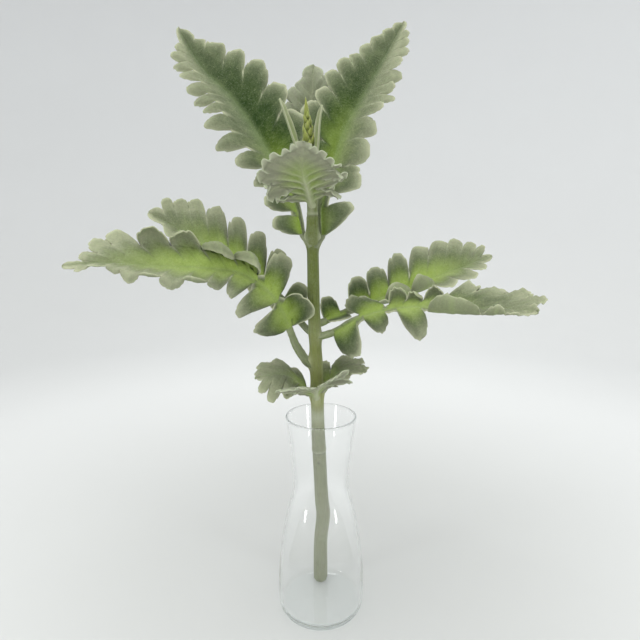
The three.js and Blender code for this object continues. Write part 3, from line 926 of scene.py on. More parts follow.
LEAVES = (
    LeafForm(
        "leaf_top_left", Slot.GREEN_LEAF, (329, 172, 2.6),
        ((-17.2, -38, 347), (-27, -30, 371), (-42, -19, 396), (-66, -3, 432), (-92, 8, 459),
         (-111, 17, 490)),
        ((0.3, -0.9, 0.2), (0.05, -0.9, 0.4)), 3, 2.3, (12, 56),
        Half((20, 36), (-16, 4), (
            (17, 21, 5, -10), (4, 0, 5), (16, 23, 6, -24), (9, 0, 7), (17, 24, 9, -60), (2, 0, 11),
            (16, 31, 15, -54), (3, 0, 18), (16, 40, 21, -56), (3, 0, 22), (16, 41, 22, -44), (3, 0, 22),
            (13, 35, 21, -64), (3, 0, 21), (12, 36, 20, -44), (3, 0, 20), (13, 34, 18, -56), (2, 0, 18),
            (13, 30, 16, -36), (2, 0, 16), (12, 28, 14, -50), (13, 24, 12, -30), (13, 16, 9, -20),
            (28, 5, 0)), 0.6),
        Half((30, 4), (4, 8), (
            (38, 0, 5), (24, 22, 14, 8), (34, 39, 24, 6), (28, 42, 24, 0), (23, 45, 24, -10),
            (26, 40, 22, 10), (30, 30, 18, -6), (18, 17, 11, 6), (28, 6, 0)), 0.0),
        fresh=(0.95, 0.5), band=(0.6, 6.0), frost=0.1, smooth=(0.8, -0.3), puff=0.35,
    ),
    LeafForm(
        "leaf_top_right", Slot.GREEN_LEAF, (328, 14, 2.6),
        ((0.4, -36, 352), (7, -28, 376), (18, -14, 410), (36, 0, 444), (64, 17, 494)),
        ((-0.3, -0.9, 0.2), (0, -0.9, 0.4)), 3, 2.3, (2, 52),
        Half((26, 4), (4, 6), (
            (43, 0, 5), (20, 14, 8, 8), (20, 24, 14, -8), (20, 37, 23, 0), (18, 34, 24, 8),
            (16, 36, 25, -8), (17, 33, 24, 8), (14, 28, 20, -4), (15, 24, 17, 4), (18, 19, 13, 0),
            (16, 13, 7, 0), (18, 8, 0)), 0.05),
        Half((14, 34), (-6, -8), (
            (26, 27, 6, 4, 22), (12, 0, 6), (24, 25, 14, -20), (28, 27, 15, -50), (23, 26, 15, -20),
            (13, 27, 17, 24), (11, 30, 18, -30), (12, 27, 17, 20), (14, 28, 16, -24), (17, 23, 14, 18),
            (12, 22, 13, -10), (12, 18, 10, 14), (12, 14, 6, 0), (18, 7, 0)), 0.7),
        fresh=(0.45, 0.7), band=(0.4, 4.5), frost=0.15, smooth=(0.8, -0.3), puff=0.35,
    ),
    LeafForm(
        "leaf_top_back", Slot.PALE_LEAF, (361, 92, 0.9),
        ((-9, -18, 382), (-8.4, 4, 418), (-6, 20, 464)),
        ((0, -0.9, 0.4), (0, -0.95, 0.3)), 24, 1.6, (22, 54),
        Half((-6, 10), (0, 0), (
            (12, 18, 6, 0), (12, 28, 15, 14), (11, 30, 20, -10), (10, 26, 17, 8), (9, 17, 12, 0), (14, 6, 0)),
            0.5),
        Half((-6, 16), (0, 10), (
            (12, 18, 6, 0), (12, 27, 16, -10), (11, 29, 20, 24), (10, 27, 17, -20), (9, 19, 12, 10),
            (14, 6, 0)), 0.5),
        band=(0.5, 2.2), frost=0.2,
    ),
    LeafForm(
        "leaf_top_front", Slot.PALE_LEAF, (352, -96, 0.7),
        ((-7.8, -59, 356.5), (-9, -70, 361), (-11.5, -86, 370), (-11, -95, 377.5), (-10.2, -101, 384.5)),
        ((0, 0.35, 0.95), (0, 0.8, 0.6)), 4, 1.9, (6, 36),
        Half((16, 2), (-10, -26), (
            (9, 18, 6, 30), (10, 24, 8, -40), (9, 28, 14, 36), (8, 28, 18, -36), (8, 26, 18, 26),
            (7, 21, 14, -20), (7, 15, 10, 10), (6, 9, 5, -10), (7, 3, 0))),
        Half((12, 2), (-10, -26), (
            (9, 24, 6, -30), (10, 30, 12, 24), (9, 31, 22, -50), (8, 30, 24, 20), (7, 27, 22, -40),
            (7, 21, 15, 10), (7, 14, 9, -20), (6, 8.5, 5, 0), (7, 3, 0))),
        fresh=(0.75, 0.95), crimp=1.1, smooth=(0.85, 0.45), puff=1.8,
    ),
    LeafForm(
        "leaf_mid_left_near", Slot.GREEN_LEAF, (236, 196, 3),
        ((-20.8, -38, 254.4), (-25.5, -43, 270), (-31.8, -48, 285), (-42.5, -53, 297), (-57, -58, 306),
         (-78, -65, 309.7), (-107, -73, 311.6), (-135, -82, 314), (-161, -91, 313)),
        ((0.55, -0.7, 0.35), (0, -0.2, 1)), 31, 2.7, (2, 56),
        Half((-10, 6), (-16, -10), (
            (19, 28, 9, -60, -34), (3, 0, 4), (18, 32, 9, -60), (3, 0, 4), (15, 25, 8, -90),
            (11, 23, 14, -150), (12, 25, 16, 120), (13, 27, 17, -130), (12, 22, 16, 140), (11, 23, 14, -100),
            (10, 18, 11, -150), (10, 17, 8, 50), (10, 13, 4, -10), (12, 6, 0)), 0.45),
        Half((24, 36), (6, 6), (
            (17, 28, 6, 100), (3, 0, 3.4), (13, 31, 8, -10, -8), (4, 0, 5), (12, 34, 10, 210),
            (14, 40, 15, 230), (14, 37, 19, 150), (15, 39, 20, 140), (13, 33, 20, 20), (11, 26, 12, 30),
            (10, 17, 4, 0), (14, 6, 0)), 0.25),
        fresh=(0.9, 1.02), frost=0.5,
    ),
    LeafForm(
        "leaf_mid_left_far", Slot.GREEN_LEAF, (259, 142, 0.9),
        ((-23.6, -25, 274), (-42, -21, 294), (-66, -18, 311), (-101, -12, 331), (-135, -6, 349)),
        ((0.8, -0.2, 0.5), (0.2, -0.5, 0.85)), 16, 2.2, (12, 54),
        Half((0, 0), (-24, -16), (
            (12, 16, 4, 0), (13, 20, 12, -30), (13, 24, 16, 20), (12, 24, 15, -30), (11, 20, 12, 0),
            (11, 14, 8, 0), (13, 7, 0)), 0.4),
        Half((40, 40), (6, 10), (
            (14, 24, 4, 20), (5, 0, 3.4), (13, 32, 6, 40), (14, 36, 10, 0), (14, 39, 17, 14),
            (14, 39, 25, -8), (12, 36, 26, 24), (11, 30, 20, 0), (10, 24, 10, 30), (15, 7, 0)), 0.25),
        fresh=(0.9, 0.95), frost=0.4,
    ),
    LeafForm(
        "leaf_mid_right_near", Slot.GREEN_LEAF, (257, -24, 1.3),
        ((11.7, -41, 262), (29.3, -50, 273.6), (53, -62, 282), (84, -79, 285.5), (111, -95, 286.5),
         (129, -108, 287)),
        ((-0.3, -0.6, 0.75), (0, -0.3, 0.95)), 10, 2.2, (-8, 56),
        Half((16, 6), (4, 14), (
            (24, 0, 3.4), (20, 28, 5, 10, -50), (3, 0, 4), (12, 18, 7, 130),
            (11, 15, 6, 160), (12, 20, 8, 130), (14, 27, 19, 30), (14, 30, 22, -10), (14, 30, 20, 20),
            (13, 25, 9, 0), (12, 6, 0)), 0.35),
        Half((16, 4), (0, 0), (
            (22, 29, 6, -90, -10), (6, 0, 4), (18, 22, 6, -120, 20), (8, 0, 4), (18, 30, 6, -100, 18),
            (3, 0, 9), (31, 29, 13, 200, -16), (12, 25, 15, 110), (10, 20, 9, 60), (9, 13, 5, 20),
            (10, 4, 0)), 0.4),
        fresh=(0.9, 0.85), frost=0.25, crimp=0.9,
    ),
    LeafForm(
        "leaf_mid_right_far", Slot.GREEN_LEAF, (266, 40, 0.8),
        ((17.6, -25, 272.5), (44.5, -17, 282), (86, -5, 296), (141, 9, 315)),
        ((-0.4, -0.35, 0.8), (0.1, -0.5, 0.9)), 5, 2.2, (2, 52),
        Half((28, 22), (6, 8), (
            (12, 19, 4, 90), (7, 0, 4), (14, 25, 8, 50), (14, 33, 8, 10), (14, 38, 10, 0),
            (13, 38, 25, 12), (12, 36, 28, -6), (11, 32, 22, 10), (9, 27, 11, 0, 6), (8, 20, 5, 0, 8),
            (10, 4, 0)), 0.2),
        Half((10, 4), (-20, -10), (
            (12, 13, 4, 30), (5, 0, 4), (13, 24, 9, 90), (14, 34, 10, 200), (13, 32, 11, 200),
            (12, 22, 11, 40), (11, 23, 7, 10), (11, 16, 4, 10), (11, 4, 0)), 0.4),
        fresh=(0.9, 1.0), frost=0.25,
    ),
    LeafForm(
        "leaf_low_left", Slot.GREEN_LEAF, (209, 190, 1.2),
        ((-18.8, -31, 220), (-30.5, -38, 227.5), (-49, -48, 227.5)),
        ((0.4, 0.0, 0.9), (-0.3, -0.3, 0.85)), 4, 1.9, (26, 48),
        Half((-6, -20), (-16, -24), (
            (14, 18, 8, -60), (18, 27, 9, -10), (18, 28, 9, -36), (14, 19, 5, 0), (13, 4, 0)), 0.75),
        Half((26, 18), (-10, -30), (
            (12, 17, 9, 12), (15, 22, 15, 0), (15, 22, 14, 12), (11, 15, 5, -60), (13, 4, 0)), 0.8),
        frost=0.5,
    ),
    LeafForm(
        "leaf_low_front", Slot.PALE_LEAF, (207, -98, 1.4),
        ((-4.2, -44, 214), (-3.6, -58, 221), (-2.2, -73, 228)),
        ((0, 0.45, 0.9), (0, 0.5, 0.8)), 4, 1.9, (10, 44),
        Half((40, 40), (-14, -24), (
            (12, 20, 9, 0), (14, 31, 18, -30), (12, 29, 14, 12), (10, 19, 6, 0), (11, 3, 0))),
        Half((6, 8), (-4, -8), (
            (12, 18, 8, 0), (14, 32, 17, 10), (13, 30, 14, -12), (10, 18, 6, 0), (11, 3, 0))),
        frost=0.3, crimp=0.6,
    ),
    LeafForm(
        "leaf_low_right", Slot.GREEN_LEAF, (210, 26, 0.9),
        ((8.6, -24, 221), (19.5, -28, 228.5), (34, -36, 228.5)),
        ((-0.4, -0.4, 0.8), (0.4, -0.3, 0.85)), 4, 1.9, (16, 44),
        Half((24, 10), (-10, -24), (
            (12, 17, 6, 40), (12, 20, 10, 0), (11, 19, 10, 30), (10, 14, 7, 0), (11, 7, 0)), 0.7),
        Half((10, 8), (-16, -24), (
            (12, 13, 5, -16), (12, 18, 8, 45), (11, 16, 8, -30), (10, 12, 6, 40), (11, 6, 0)), 0.75),
        frost=0.5, crimp=0.9,
    ),
    LeafForm(
        "leaf_young_left", Slot.YOUNG_LEAF, (381, 186, 1.2),
        ((-17.6, -47, 393), (-23, -47.6, 408), (-28, -47.6, 422)),
        ((0.8, -0.5, 0.3), (0.8, -0.5, 0.3)), 2, 1, (30, 30),
        YOUNG_HALF, YOUNG_HALF,
        small=True,
    ),
    LeafForm(
        "leaf_young_right", Slot.YOUNG_LEAF, (380, -20, 1),
        ((-2.4, -49.4, 392), (-1.4, -51, 405), (0.4, -51, 417)),
        ((-0.8, -0.5, 0.3), (-0.8, -0.5, 0.3)), 2, 0.9, (30, 30),
        YOUNG_HALF, YOUNG_HALF,
        small=True,
    ),
)


# ---- Felted leaves ----


@dataclass(frozen=True)
class Slit:
    """A cut between two lobes: where it meets the midrib's edge and where it starts.

    Flat points are complex numbers: the distance from the midrib and the place along it.
    """

    root: complex
    start: complex


@dataclass(frozen=True)
class Lobe:
    """A lobe of a blade, or a stretch of narrow wing, laid out flat between two slits."""

    ROUNDNESS: ClassVar[float] = 3.6  # 2 is an ellipse, more is squarer
    NOTCH: ClassVar[float] = 0.055  # width of a notch in the edge, as a share of the lobe
    SHOULDER: ClassVar[float] = 0.55  # fullness of the blade's tip, as a share of its reach
    BROW: ClassVar[float] = 0.96  # how close to its end the tip stays full
    LEAST_BEND: ClassVar[float] = 1e-4

    before: Slit
    after: Slit
    point: complex = 0j
    reach: float = 0.0
    last: bool = False
    lift: float = 0.0  # how far its end is bent up, in radians, as are the next two
    cup: float = 0.0  # how much more both flanks are bent up
    twist: float = 0.0  # how much more one flank is bent up, and the other less
    notches: tuple[Pair, ...] = ()  # place along the edge and depth

    def waist(self, share: float) -> complex:
        """The line from one slit's start to the other's."""
        return mix(self.before.start, self.after.start, share)

    def edge(self, share: float) -> complex:
        """The blade's edge.

        Args:
            share: The place on it, from the slit before (0) to the slit after (1).

        Returns:
            The flat point.
        """
        if not self.reach:
            return self.waist(share)
        if self.last:
            return self._tip(share)
        turn = (share - 0.5) * math.pi
        power = 2 / self.ROUNDNESS
        across = math.copysign(abs(math.sin(turn)) ** power, turn)
        out = math.cos(turn) ** power
        centre = self.waist(0.5)
        axis = self.point - centre
        half = (self.after.start - self.before.start) / 2
        square = half - axis * (half * axis.conjugate()).real / max(abs(axis) ** 2, 1e-9)
        edge = centre + axis * out + mix(half, square, out**2) * across
        depth = sum(depth * bell(share - place, self.NOTCH) for place, depth in self.notches)
        return mix(edge, self.waist(share), depth)

    def _tip(self, share: float) -> complex:
        """The edge of the blade's pointed tip.

        Args:
            share: The place on it, from the slit before (0) to the very end (1).

        Returns:
            The flat point.
        """
        start, end = self.before.start, self.after.start
        full = self.reach * self.SHOULDER
        shoulder = complex(start.real + full, mix(start.imag, end.imag, 0.5))
        brow = complex(full, mix(start.imag, end.imag, self.BROW))
        corner = mix(shoulder, brow, share)
        return mix(mix(mix(start, shoulder, share), corner, share),
                   mix(corner, mix(brow, end, share), share), share)

    def bend(self, share: float) -> float:
        """How far its end is bent up off the blade, in radians, by the place across it."""
        flank = 2 * share - 1
        return self.lift + self.cup * flank**2 + self.twist * flank or self.LEAST_BEND


class SheetPoint(NamedTuple):
    """One point of a blade's flat sheet, or arrays of all of them."""

    side: Any  # -1 or 1, as in Side
    x: Any  # distance from the midrib on the flat blade
    y: Any  # place along the midrib
    rise: Any  # how far it is lifted off the blade
    rim: Any  # how far it is from the blade's edge
    width: Any  # of the blade there, from the rib to the edge
    vein: Any  # how far it is from its lobe's vein
    laid_x: Any  # where it lies over the blade once its lobe is bent
    laid_y: Any


@dataclass
class Sheet:
    """Flat points of a blade, merged where lobes meet, and the triangles between them."""

    rows: list[SheetPoint] = field(default_factory=list)
    names: dict[tuple[int, float, float], int] = field(default_factory=dict)
    faces: list[tuple[int, int, int]] = field(default_factory=list)

    def point(self, row: SheetPoint) -> int:
        """Adds a point, or finds the one that is there.

        Args:
            row: The point.

        Returns:
            Its number.
        """
        sign = row.side if row.x > 1e-6 else 0
        name = (sign, round(row.x, 4), round(row.y, 4))
        if name not in self.names:
            self.names[name] = len(self.rows)
            self.rows.append(row)
        return self.names[name]

    def arrays(self) -> SheetPoint:
        """All the points, as one array for each of their values."""
        return SheetPoint(*np.array(self.rows).T)

    def triangle(self, a: int, b: int, c: int, flip: bool) -> None:
        """Adds a triangle, unless two of its corners are one point."""
        if a != b and b != c and c != a:
            self.faces.append((a, c, b) if flip else (a, b, c))


class RibPoint(NamedTuple):
    """A point of the sheet in the middle of the rib."""

    number: int
    y: float  # its place along the rib
    width: float  # of the blade there


class Reading(NamedTuple):
    """What the leaf's thickness and masks depend on, at all the points of its sheet."""

    lobe: np.ndarray  # how far out towards the edge, 0 to 1
    share: np.ndarray  # how far along the leaf, 0 to 1
    off: np.ndarray  # distance from the middle of the rib, to its half width
    stalk: np.ndarray  # 1 on the bare stalk, 0 on the blade
    strong: np.ndarray  # how clearly the veins stand out, 0 to 1


@dataclass
class FeltedLeaf:
    """A lobed leaf: laid out flat, folded and curled round its midrib, then thickened."""

    form: LeafForm
    stem: StemLine
    seed: int

    thickness: float = 0.8  # of the blade
    rib_tip: float = 0.5  # half width of the midrib where it ends
    keel: float = 1.25  # depth of the midrib under the blade, to its half width
    crown: float = 0.8  # height of the bare stalk's back, to its half width
    flare: float = 0.4  # how much wider the stalk's foot is
    flare_run: float = 4.0
    curl_reach: float = 30.0  # a curl is the turn over this distance
    edge_band: float = 0.55  # the blade rounds off over this distance from its edge
    fade: float = 5.0  # blade width over which the stalk turns into a midrib
    foot_sink: float = 1.7  # how far the stalk's foot runs on into the stem, to its half width
    foot_run: float = 10.0  # the foot bends in to the stem over this distance
    smoothing: float = 0.3  # share of the length over which the veins are lost

    # random variety of the lobes, with angles in radians and places along a lobe's edge
    droop: float = 0.2
    sway: float = 0.25
    cupping: float = 0.3
    twisting: float = 0.35
    notches_from: Pair = (0.22, 0.6)
    notches_to: Pair = (0.4, 0.78)
    notch_depth: Pair = (0.02, 0.15)

    # spacing of the mesh: shares across a lobe and out over the rib, rows and steps
    lobe_columns: tuple[float, ...] = (
        0.0, 0.05, 0.1, 0.17, 0.24, 0.31, 0.37, 0.42, 0.46, 0.5, 0.54, 0.58, 0.63, 0.69, 0.76, 0.83,
        0.9, 0.95, 1.0)
    wing_columns: tuple[float, ...] = (0.0, 0.25, 0.5, 0.75, 1.0)
    rib_rows: tuple[float, ...] = (0.3, 0.6, 0.85)
    fine_rows: int = 7  # to a slit's start, and again from there to the edge
    small_rows: int = 3
    edge_share: float = 0.3  # at most this share of a row goes to its last stretch
    stalk_step: float = 1.2
    middle_step: float = 1.4

    # relief of the blade
    vein_under: float = 0.42
    vein_over: float = 0.28
    groove: float = 0.3  # depth of the groove over the midrib
    plain_keel: float = 0.3  # share of the keel that stays where veins are lost
    puff_width: float = 12.0  # narrower blades swell less
    flutter: float = 1.3  # how far the blade waves out towards its edge
    flutter_step: float = 41.0
    quilt: float = 0.2  # height of the fine puckers
    quilt_turns: Point = (0.85, 0.75, 0.3)  # radians a millimetre out and along, and slant
    roll: float = 0.6  # how far the very edge turns down
    roll_reach: float = 1.6
    crimp_step: float = 5.2  # from one pucker of the edge to the next
    crimp_reach: float = 3.0
    crimp_slant: float = 0.6
    no_vein: float = 99.0  # stands for a vein that is far off

    def __post_init__(self) -> None:
        """Lays the midrib, starts the random draws and the flat sheet."""
        form = self.form
        self.midrib = SmoothLine([self.stem.seat(*form.foot), *form.midrib])
        self.length = self.midrib.length
        self.sink = self.foot_sink * form.rib + form.foot[2]
        self.draw = np.random.default_rng(self.seed)
        self.sheet = Sheet()
        self.columns = self.lobe_columns[::2] if form.small else self.lobe_columns
        self.row_count = self.small_rows if form.small else self.fine_rows

    def half(self, side: Side) -> Half:
        """The form of one half of the blade."""
        return self.form.left if side is Side.LEFT else self.form.right

    def rib_half(self, y: Any) -> Any:
        """Half the width of the midrib, flared where the stalk meets the stem."""
        flare = self.flare * self.form.rib * np.exp(-(np.asarray(y) + self.sink) / self.flare_run)
        return mix(self.form.rib, self.rib_tip, np.clip(y / self.length, 0.0, 1.0)) + flare

    def strong(self, share: Any) -> Any:
        """How clearly the veins stand out at a share of the leaf's length, 0 to 1."""
        lost, start = self.form.smooth
        return 1 - lost * ease((share - start) / self.smoothing)

    def slit(self, y: float, out: float) -> Slit:
        """The cut between two lobes.

        Args:
            y: Where it meets the midrib.
            out: How far out it starts.

        Returns:
            The slit, which starts at the midrib's edge where it would start inside it.
        """
        root = complex(self.rib_half(y), y)
        lean = math.radians(mix(*self.form.lean, y / self.length))
        start = complex(out * math.cos(lean), y + out * math.sin(lean))
        return Slit(root, start if start.real > root.real else root)

    def lobes(self, side: Side) -> list[Lobe]:
        """Lays out the lobes and narrow wings of one half.

        Args:
            side: The half of the blade.

        Returns:
            The lobes, from the stalk's foot to the blade's tip.
        """
        teeth = self.half(side).teeth
        scale = (self.length - self.form.stalk) / sum(tooth[0] for tooth in teeth)
        y = self.form.stalk
        before = self.slit(y, 0.0)
        lobes = [Lobe(self.slit(-self.sink, 0.0), before)]
        for share, reach, out, *bent in teeth[:-1]:
            lift, aim = (*bent, 0.0, 0.0)[:2]
            middle = y + share * scale / 2
            y += share * scale
            after = self.slit(y, out)
            lean = math.radians(mix(*self.form.lean, middle / self.length) + aim)
            point = complex(0.0, middle) + reach * complex(math.cos(lean), math.sin(lean))
            lobes.append(self._varied(Lobe(before, after, point, reach, lift=math.radians(lift))))
            before = after
        end = complex(0.0, self.length)
        lobes.append(Lobe(before, Slit(end, end), end, teeth[-1][1], last=True))
        return lobes

    def _varied(self, lobe: Lobe) -> Lobe:
        """Gives a lobe its own small bends and notches, drawn at random.

        Args:
            lobe: The plain lobe.

        Returns:
            The varied lobe, or the plain one on a narrow wing or a young leaf.
        """
        cup, twist, tilt = self.draw.uniform(-1.0, 1.0, 3)
        places = self.draw.uniform(self.notches_from, self.notches_to)
        depths = self.draw.uniform(*self.notch_depth, 2)
        if not lobe.reach or self.form.small:
            return lobe
        return replace(
            lobe, lift=lobe.lift - self.droop + self.sway * tilt, cup=self.cupping * cup - self.cupping,
            twist=self.twisting * twist, notches=tuple(zip(places.tolist(), depths.tolist())))

    def rows(self, length: float) -> list[float]:
        """Spreads rows of points over a line.

        Args:
            length: The line's length.

        Returns:
            Shares of it from its start to its end, with two rows close to the end.
        """
        near = min(self.edge_share, self.edge_band / length) if length > 0 else self.edge_share
        even = [i / self.row_count * (1 - near) for i in range(1, self.row_count + 1)]
        return [*even, 1 - self.edge_share * near, 1.0]

    def column(self, side: Side, lobe: Lobe, share: float) -> list[int]:
        """Adds the points from the middle of the rib out to the blade's edge.

        Args:
            side: The half of the blade.
            lobe: The lobe that the column lies in.
            share: Its place from one slit to the other.

        Returns:
            The points' numbers.
        """
        root, waist, rim = mix(lobe.before.root, lobe.after.root, share), lobe.waist(share), lobe.edge(share)
        middle = [mix(lobe.before.root, lobe.after.root, 0.5), lobe.waist(0.5), lobe.edge(0.5)]
        inner, outer = abs(waist - root), abs(rim - waist)
        width = inner + outer

        def add(flat: complex, rise: float, left: float, on_vein: complex | None,
                laid: complex | None = None) -> int:
            """Adds one point.

            Args:
                flat: Where it lies on the flat blade.
                rise: How far it is lifted.
                left: Its distance to the edge.
                on_vein: The place on the vein that is level with it.
                laid: Where it lies once its lobe is bent.

            Returns:
                Its number.
            """
            laid = flat if laid is None else laid
            vein = self.no_vein if on_vein is None else abs(flat - on_vein)
            return self.sheet.point(SheetPoint(
                side.value, flat.real, flat.imag, rise, left, width, vein, laid.real, laid.imag))

        line = [add(complex(root.real * part, root.imag), 0.0, root.real * (1 - part) + width, None)
                for part in self.rib_rows]
        line.append(add(root, 0.0, width, middle[0] if lobe.reach else None))
        narrow = min(1.0, inner / self.puff_width)
        swell = self.form.puff * (1 - math.cos(math.pi * abs(2 * share - 1))) / 2 * narrow
        swell *= float(self.strong(root.imag / self.length))
        for part in self.rows(inner):
            rise = swell * math.sin(math.pi * part) ** 2 if lobe.reach else 0.0
            on_vein = mix(middle[0], middle[1], part) if lobe.reach else None
            line.append(add(mix(root, waist, part), rise, outer + inner * (1 - part), on_vein))
        if lobe.reach:
            turn = lobe.bend(share)
            for part in self.rows(outer):
                laid = mix(waist, rim, math.sin(turn * part) / turn)
                rise = outer * (1 - math.cos(turn * part)) / turn
                line.append(add(mix(waist, rim, part), rise, outer * (1 - part),
                                mix(middle[1], middle[2], part), laid))
        return line

    def shares(self, lobe: Lobe) -> Sequence[float]:
        """Spreads columns of points over a stretch of the blade.

        Args:
            lobe: A lobe, a narrow wing or the bare stalk.

        Returns:
            The columns' places, from one slit to the other.
        """
        if lobe.before.start == lobe.before.root and lobe.after.start == lobe.after.root:
            length = lobe.after.root.imag - lobe.before.root.imag
            return np.linspace(0.0, 1.0, max(3, round(length / self.stalk_step))).tolist()
        return self.columns if lobe.reach else self.wing_columns

    def lay_half(self, side: Side) -> list[RibPoint]:
        """Lays out one half of the blade.

        Args:
            side: The half of the blade.

        Returns:
            The points nearest the middle of the rib.
        """
        flip = side is Side.LEFT
        inner: list[RibPoint] = []
        for lobe in self.lobes(side):
            grid = [self.column(side, lobe, share) for share in self.shares(lobe)]
            for here, beside in zip(grid, grid[1:]):
                for row in range(len(here) - 1):
                    self.sheet.triangle(here[row], here[row + 1], beside[row + 1], flip)
                    self.sheet.triangle(here[row], beside[row + 1], beside[row], flip)
            for number, *_ in grid:
                if not inner or inner[-1].number != number:
                    row = self.sheet.rows[number]
                    inner.append(RibPoint(number, row.y, row.width))
        return inner

    def close_middle(self, left: list[RibPoint], right: list[RibPoint]) -> None:
        """Joins the two halves along the midrib's own line of points.

        Args:
            left: The innermost points of the left half.
            right: The innermost points of the right half.
        """
        count = round((self.length + self.sink) / self.middle_step)
        middle = []
        for y in np.linspace(-self.sink, self.length, count + 1).tolist():
            width = min(np.interp(y, [spot.y for spot in half], [spot.width for spot in half])
                        for half in (left, right))
            rim = min(float(self.rib_half(y)) + width, self.length - y)
            spot = SheetPoint(Side.RIGHT.value, 0.0, y, 0.0, rim, width, self.no_vein, 0.0, y)
            middle.append(RibPoint(self.sheet.point(spot), y, width))
        self._zip(middle, left, flip=True)
        self._zip(middle, right, flip=False)

    def _zip(self, middle: list[RibPoint], edge: list[RibPoint], flip: bool) -> None:
        """Fills the strip between the middle points and one half's innermost points.

        Args:
            middle: The points along the midrib's own line.
            edge: The half's innermost points.
            flip: Whether the triangles turn the other way round.
        """
        m = e = 0
        while m + 1 < len(middle) or e + 1 < len(edge):
            next_middle = middle[m + 1].y if m + 1 < len(middle) else math.inf
            next_edge = edge[e + 1].y if e + 1 < len(edge) else math.inf
            if next_edge <= next_middle:
                self.sheet.triangle(middle[m].number, edge[e].number, edge[e + 1].number, flip)
                e += 1
            else:
                self.sheet.triangle(middle[m].number, edge[e].number, middle[m + 1].number, flip)
                m += 1

    def placed(self, flat: SheetPoint) -> np.ndarray:
        """Folds and curls the sheet round the midrib.

        Args:
            flat: The points of the sheet.

        Returns:
            Where they lie in space.
        """
        side, x, y = flat.side, flat.laid_x, flat.laid_y
        along = np.clip(y, 0.0, self.length)
        share = along / self.length
        mark = self.midrib.mark_of(share)
        heading = self.midrib.heading(mark)
        origin = self.midrib.at(mark) + heading * (y - along)[:, None]
        faces = unit(np.array(self.form.face, float))
        up = mix(faces[0], faces[1], share[:, None])
        up = unit(up - heading * (up * heading).sum(axis=1, keepdims=True))
        across = np.cross(heading, up)
        folds = [np.radians(mix(*self.half(part).fold, share)) for part in Side]
        fold = np.where(side < 0, *folds)
        curls = [np.radians(mix(*self.half(part).curl, share)) for part in Side]
        curl = np.where(side < 0, *curls) / self.curl_reach
        curl = np.where(np.abs(curl) < 1e-7, math.radians(1) / self.curl_reach, curl)
        turn = fold + curl * x
        out = (np.sin(turn) - np.sin(fold)) / curl - flat.rise * np.sin(turn)
        height = (np.cos(fold) - np.cos(turn)) / curl + flat.rise * np.cos(turn)
        soft = 0.5 * self.rib_half(y)
        crease = (np.sin(folds[0]) + np.sin(folds[1])) / 2 * soft * np.exp(-x / soft)
        away = math.radians(self.form.foot[1])
        to_stem = np.array([-math.cos(away), -math.sin(away), 0.0]) * (self.form.foot[2] + self.form.rib)
        pull = 1 - ease((y + self.sink) / self.foot_run)
        return (origin + across * (side * out)[:, None] + up * (height + crease)[:, None]
                + to_stem * pull[:, None])

    def skin(self) -> tuple[Skin, BladeEdge]:
        """Builds the leaf.

        Returns:
            Its skin, and the blade's edge for hairs.
        """
        self.close_middle(self.lay_half(Side.LEFT), self.lay_half(Side.RIGHT))
        flat = self.sheet.arrays()
        read = self._read(flat)
        points = self.placed(self._puckered(flat, read.lobe))
        over, under = self._thickness(flat, read)
        return self._shell(points, over, under, flat.rim < 1e-6, self._masks(flat, read))

    def _read(self, flat: SheetPoint) -> Reading:
        """Works out what the thickness and the masks depend on.

        Args:
            flat: The points of the sheet.

        Returns:
            The measures of each point.
        """
        half_rib = self.rib_half(flat.y)
        lobe = np.clip(1 - flat.rim / (half_rib + flat.width), 0.0, 1.0)
        share = np.clip(flat.y / self.length, 0.0, 1.0)
        stalk = 1 - ease(flat.width / self.fade)
        return Reading(lobe, share, flat.x / half_rib, stalk, self.strong(share))

    def _puckered(self, flat: SheetPoint, lobe: np.ndarray) -> SheetPoint:
        """Waves the blade and puckers its edge.

        Args:
            flat: The points of the sheet.
            lobe: How far out towards the edge they are, 0 to 1.

        Returns:
            The points, lifted and shifted; a young leaf stays as it is.
        """
        phase = self.draw.uniform(0, 2 * math.pi, 2)
        if self.form.small:
            return flat
        x, y, rim = flat.x, flat.y, flat.rim
        wave = np.sin(2 * math.pi * y / self.flutter_step + np.where(flat.side < 0, *phase))
        out, along, slant = self.quilt_turns
        quilt = np.sin(x * out + phase[0]) * np.sin(y * along + slant * x)
        rise = flat.rise + self.flutter * lobe**2 * wave + self.quilt * quilt * ease(x / 8) * ease(rim / 4)
        turn = 2 * math.pi * (y + self.crimp_slant * x) / self.crimp_step
        pucker = self.form.crimp * np.sin(turn + phase[1])
        near = np.exp(-rim / self.crimp_reach)
        edging = pucker * near - self.roll * np.exp(-rim / self.roll_reach)
        crinkle = 0.5 * pucker * near * ease(lobe)
        return flat._replace(rise=rise + edging * ease(flat.width / self.fade), laid_x=flat.laid_x + crinkle,
                             laid_y=flat.laid_y + self.crimp_slant * crinkle)

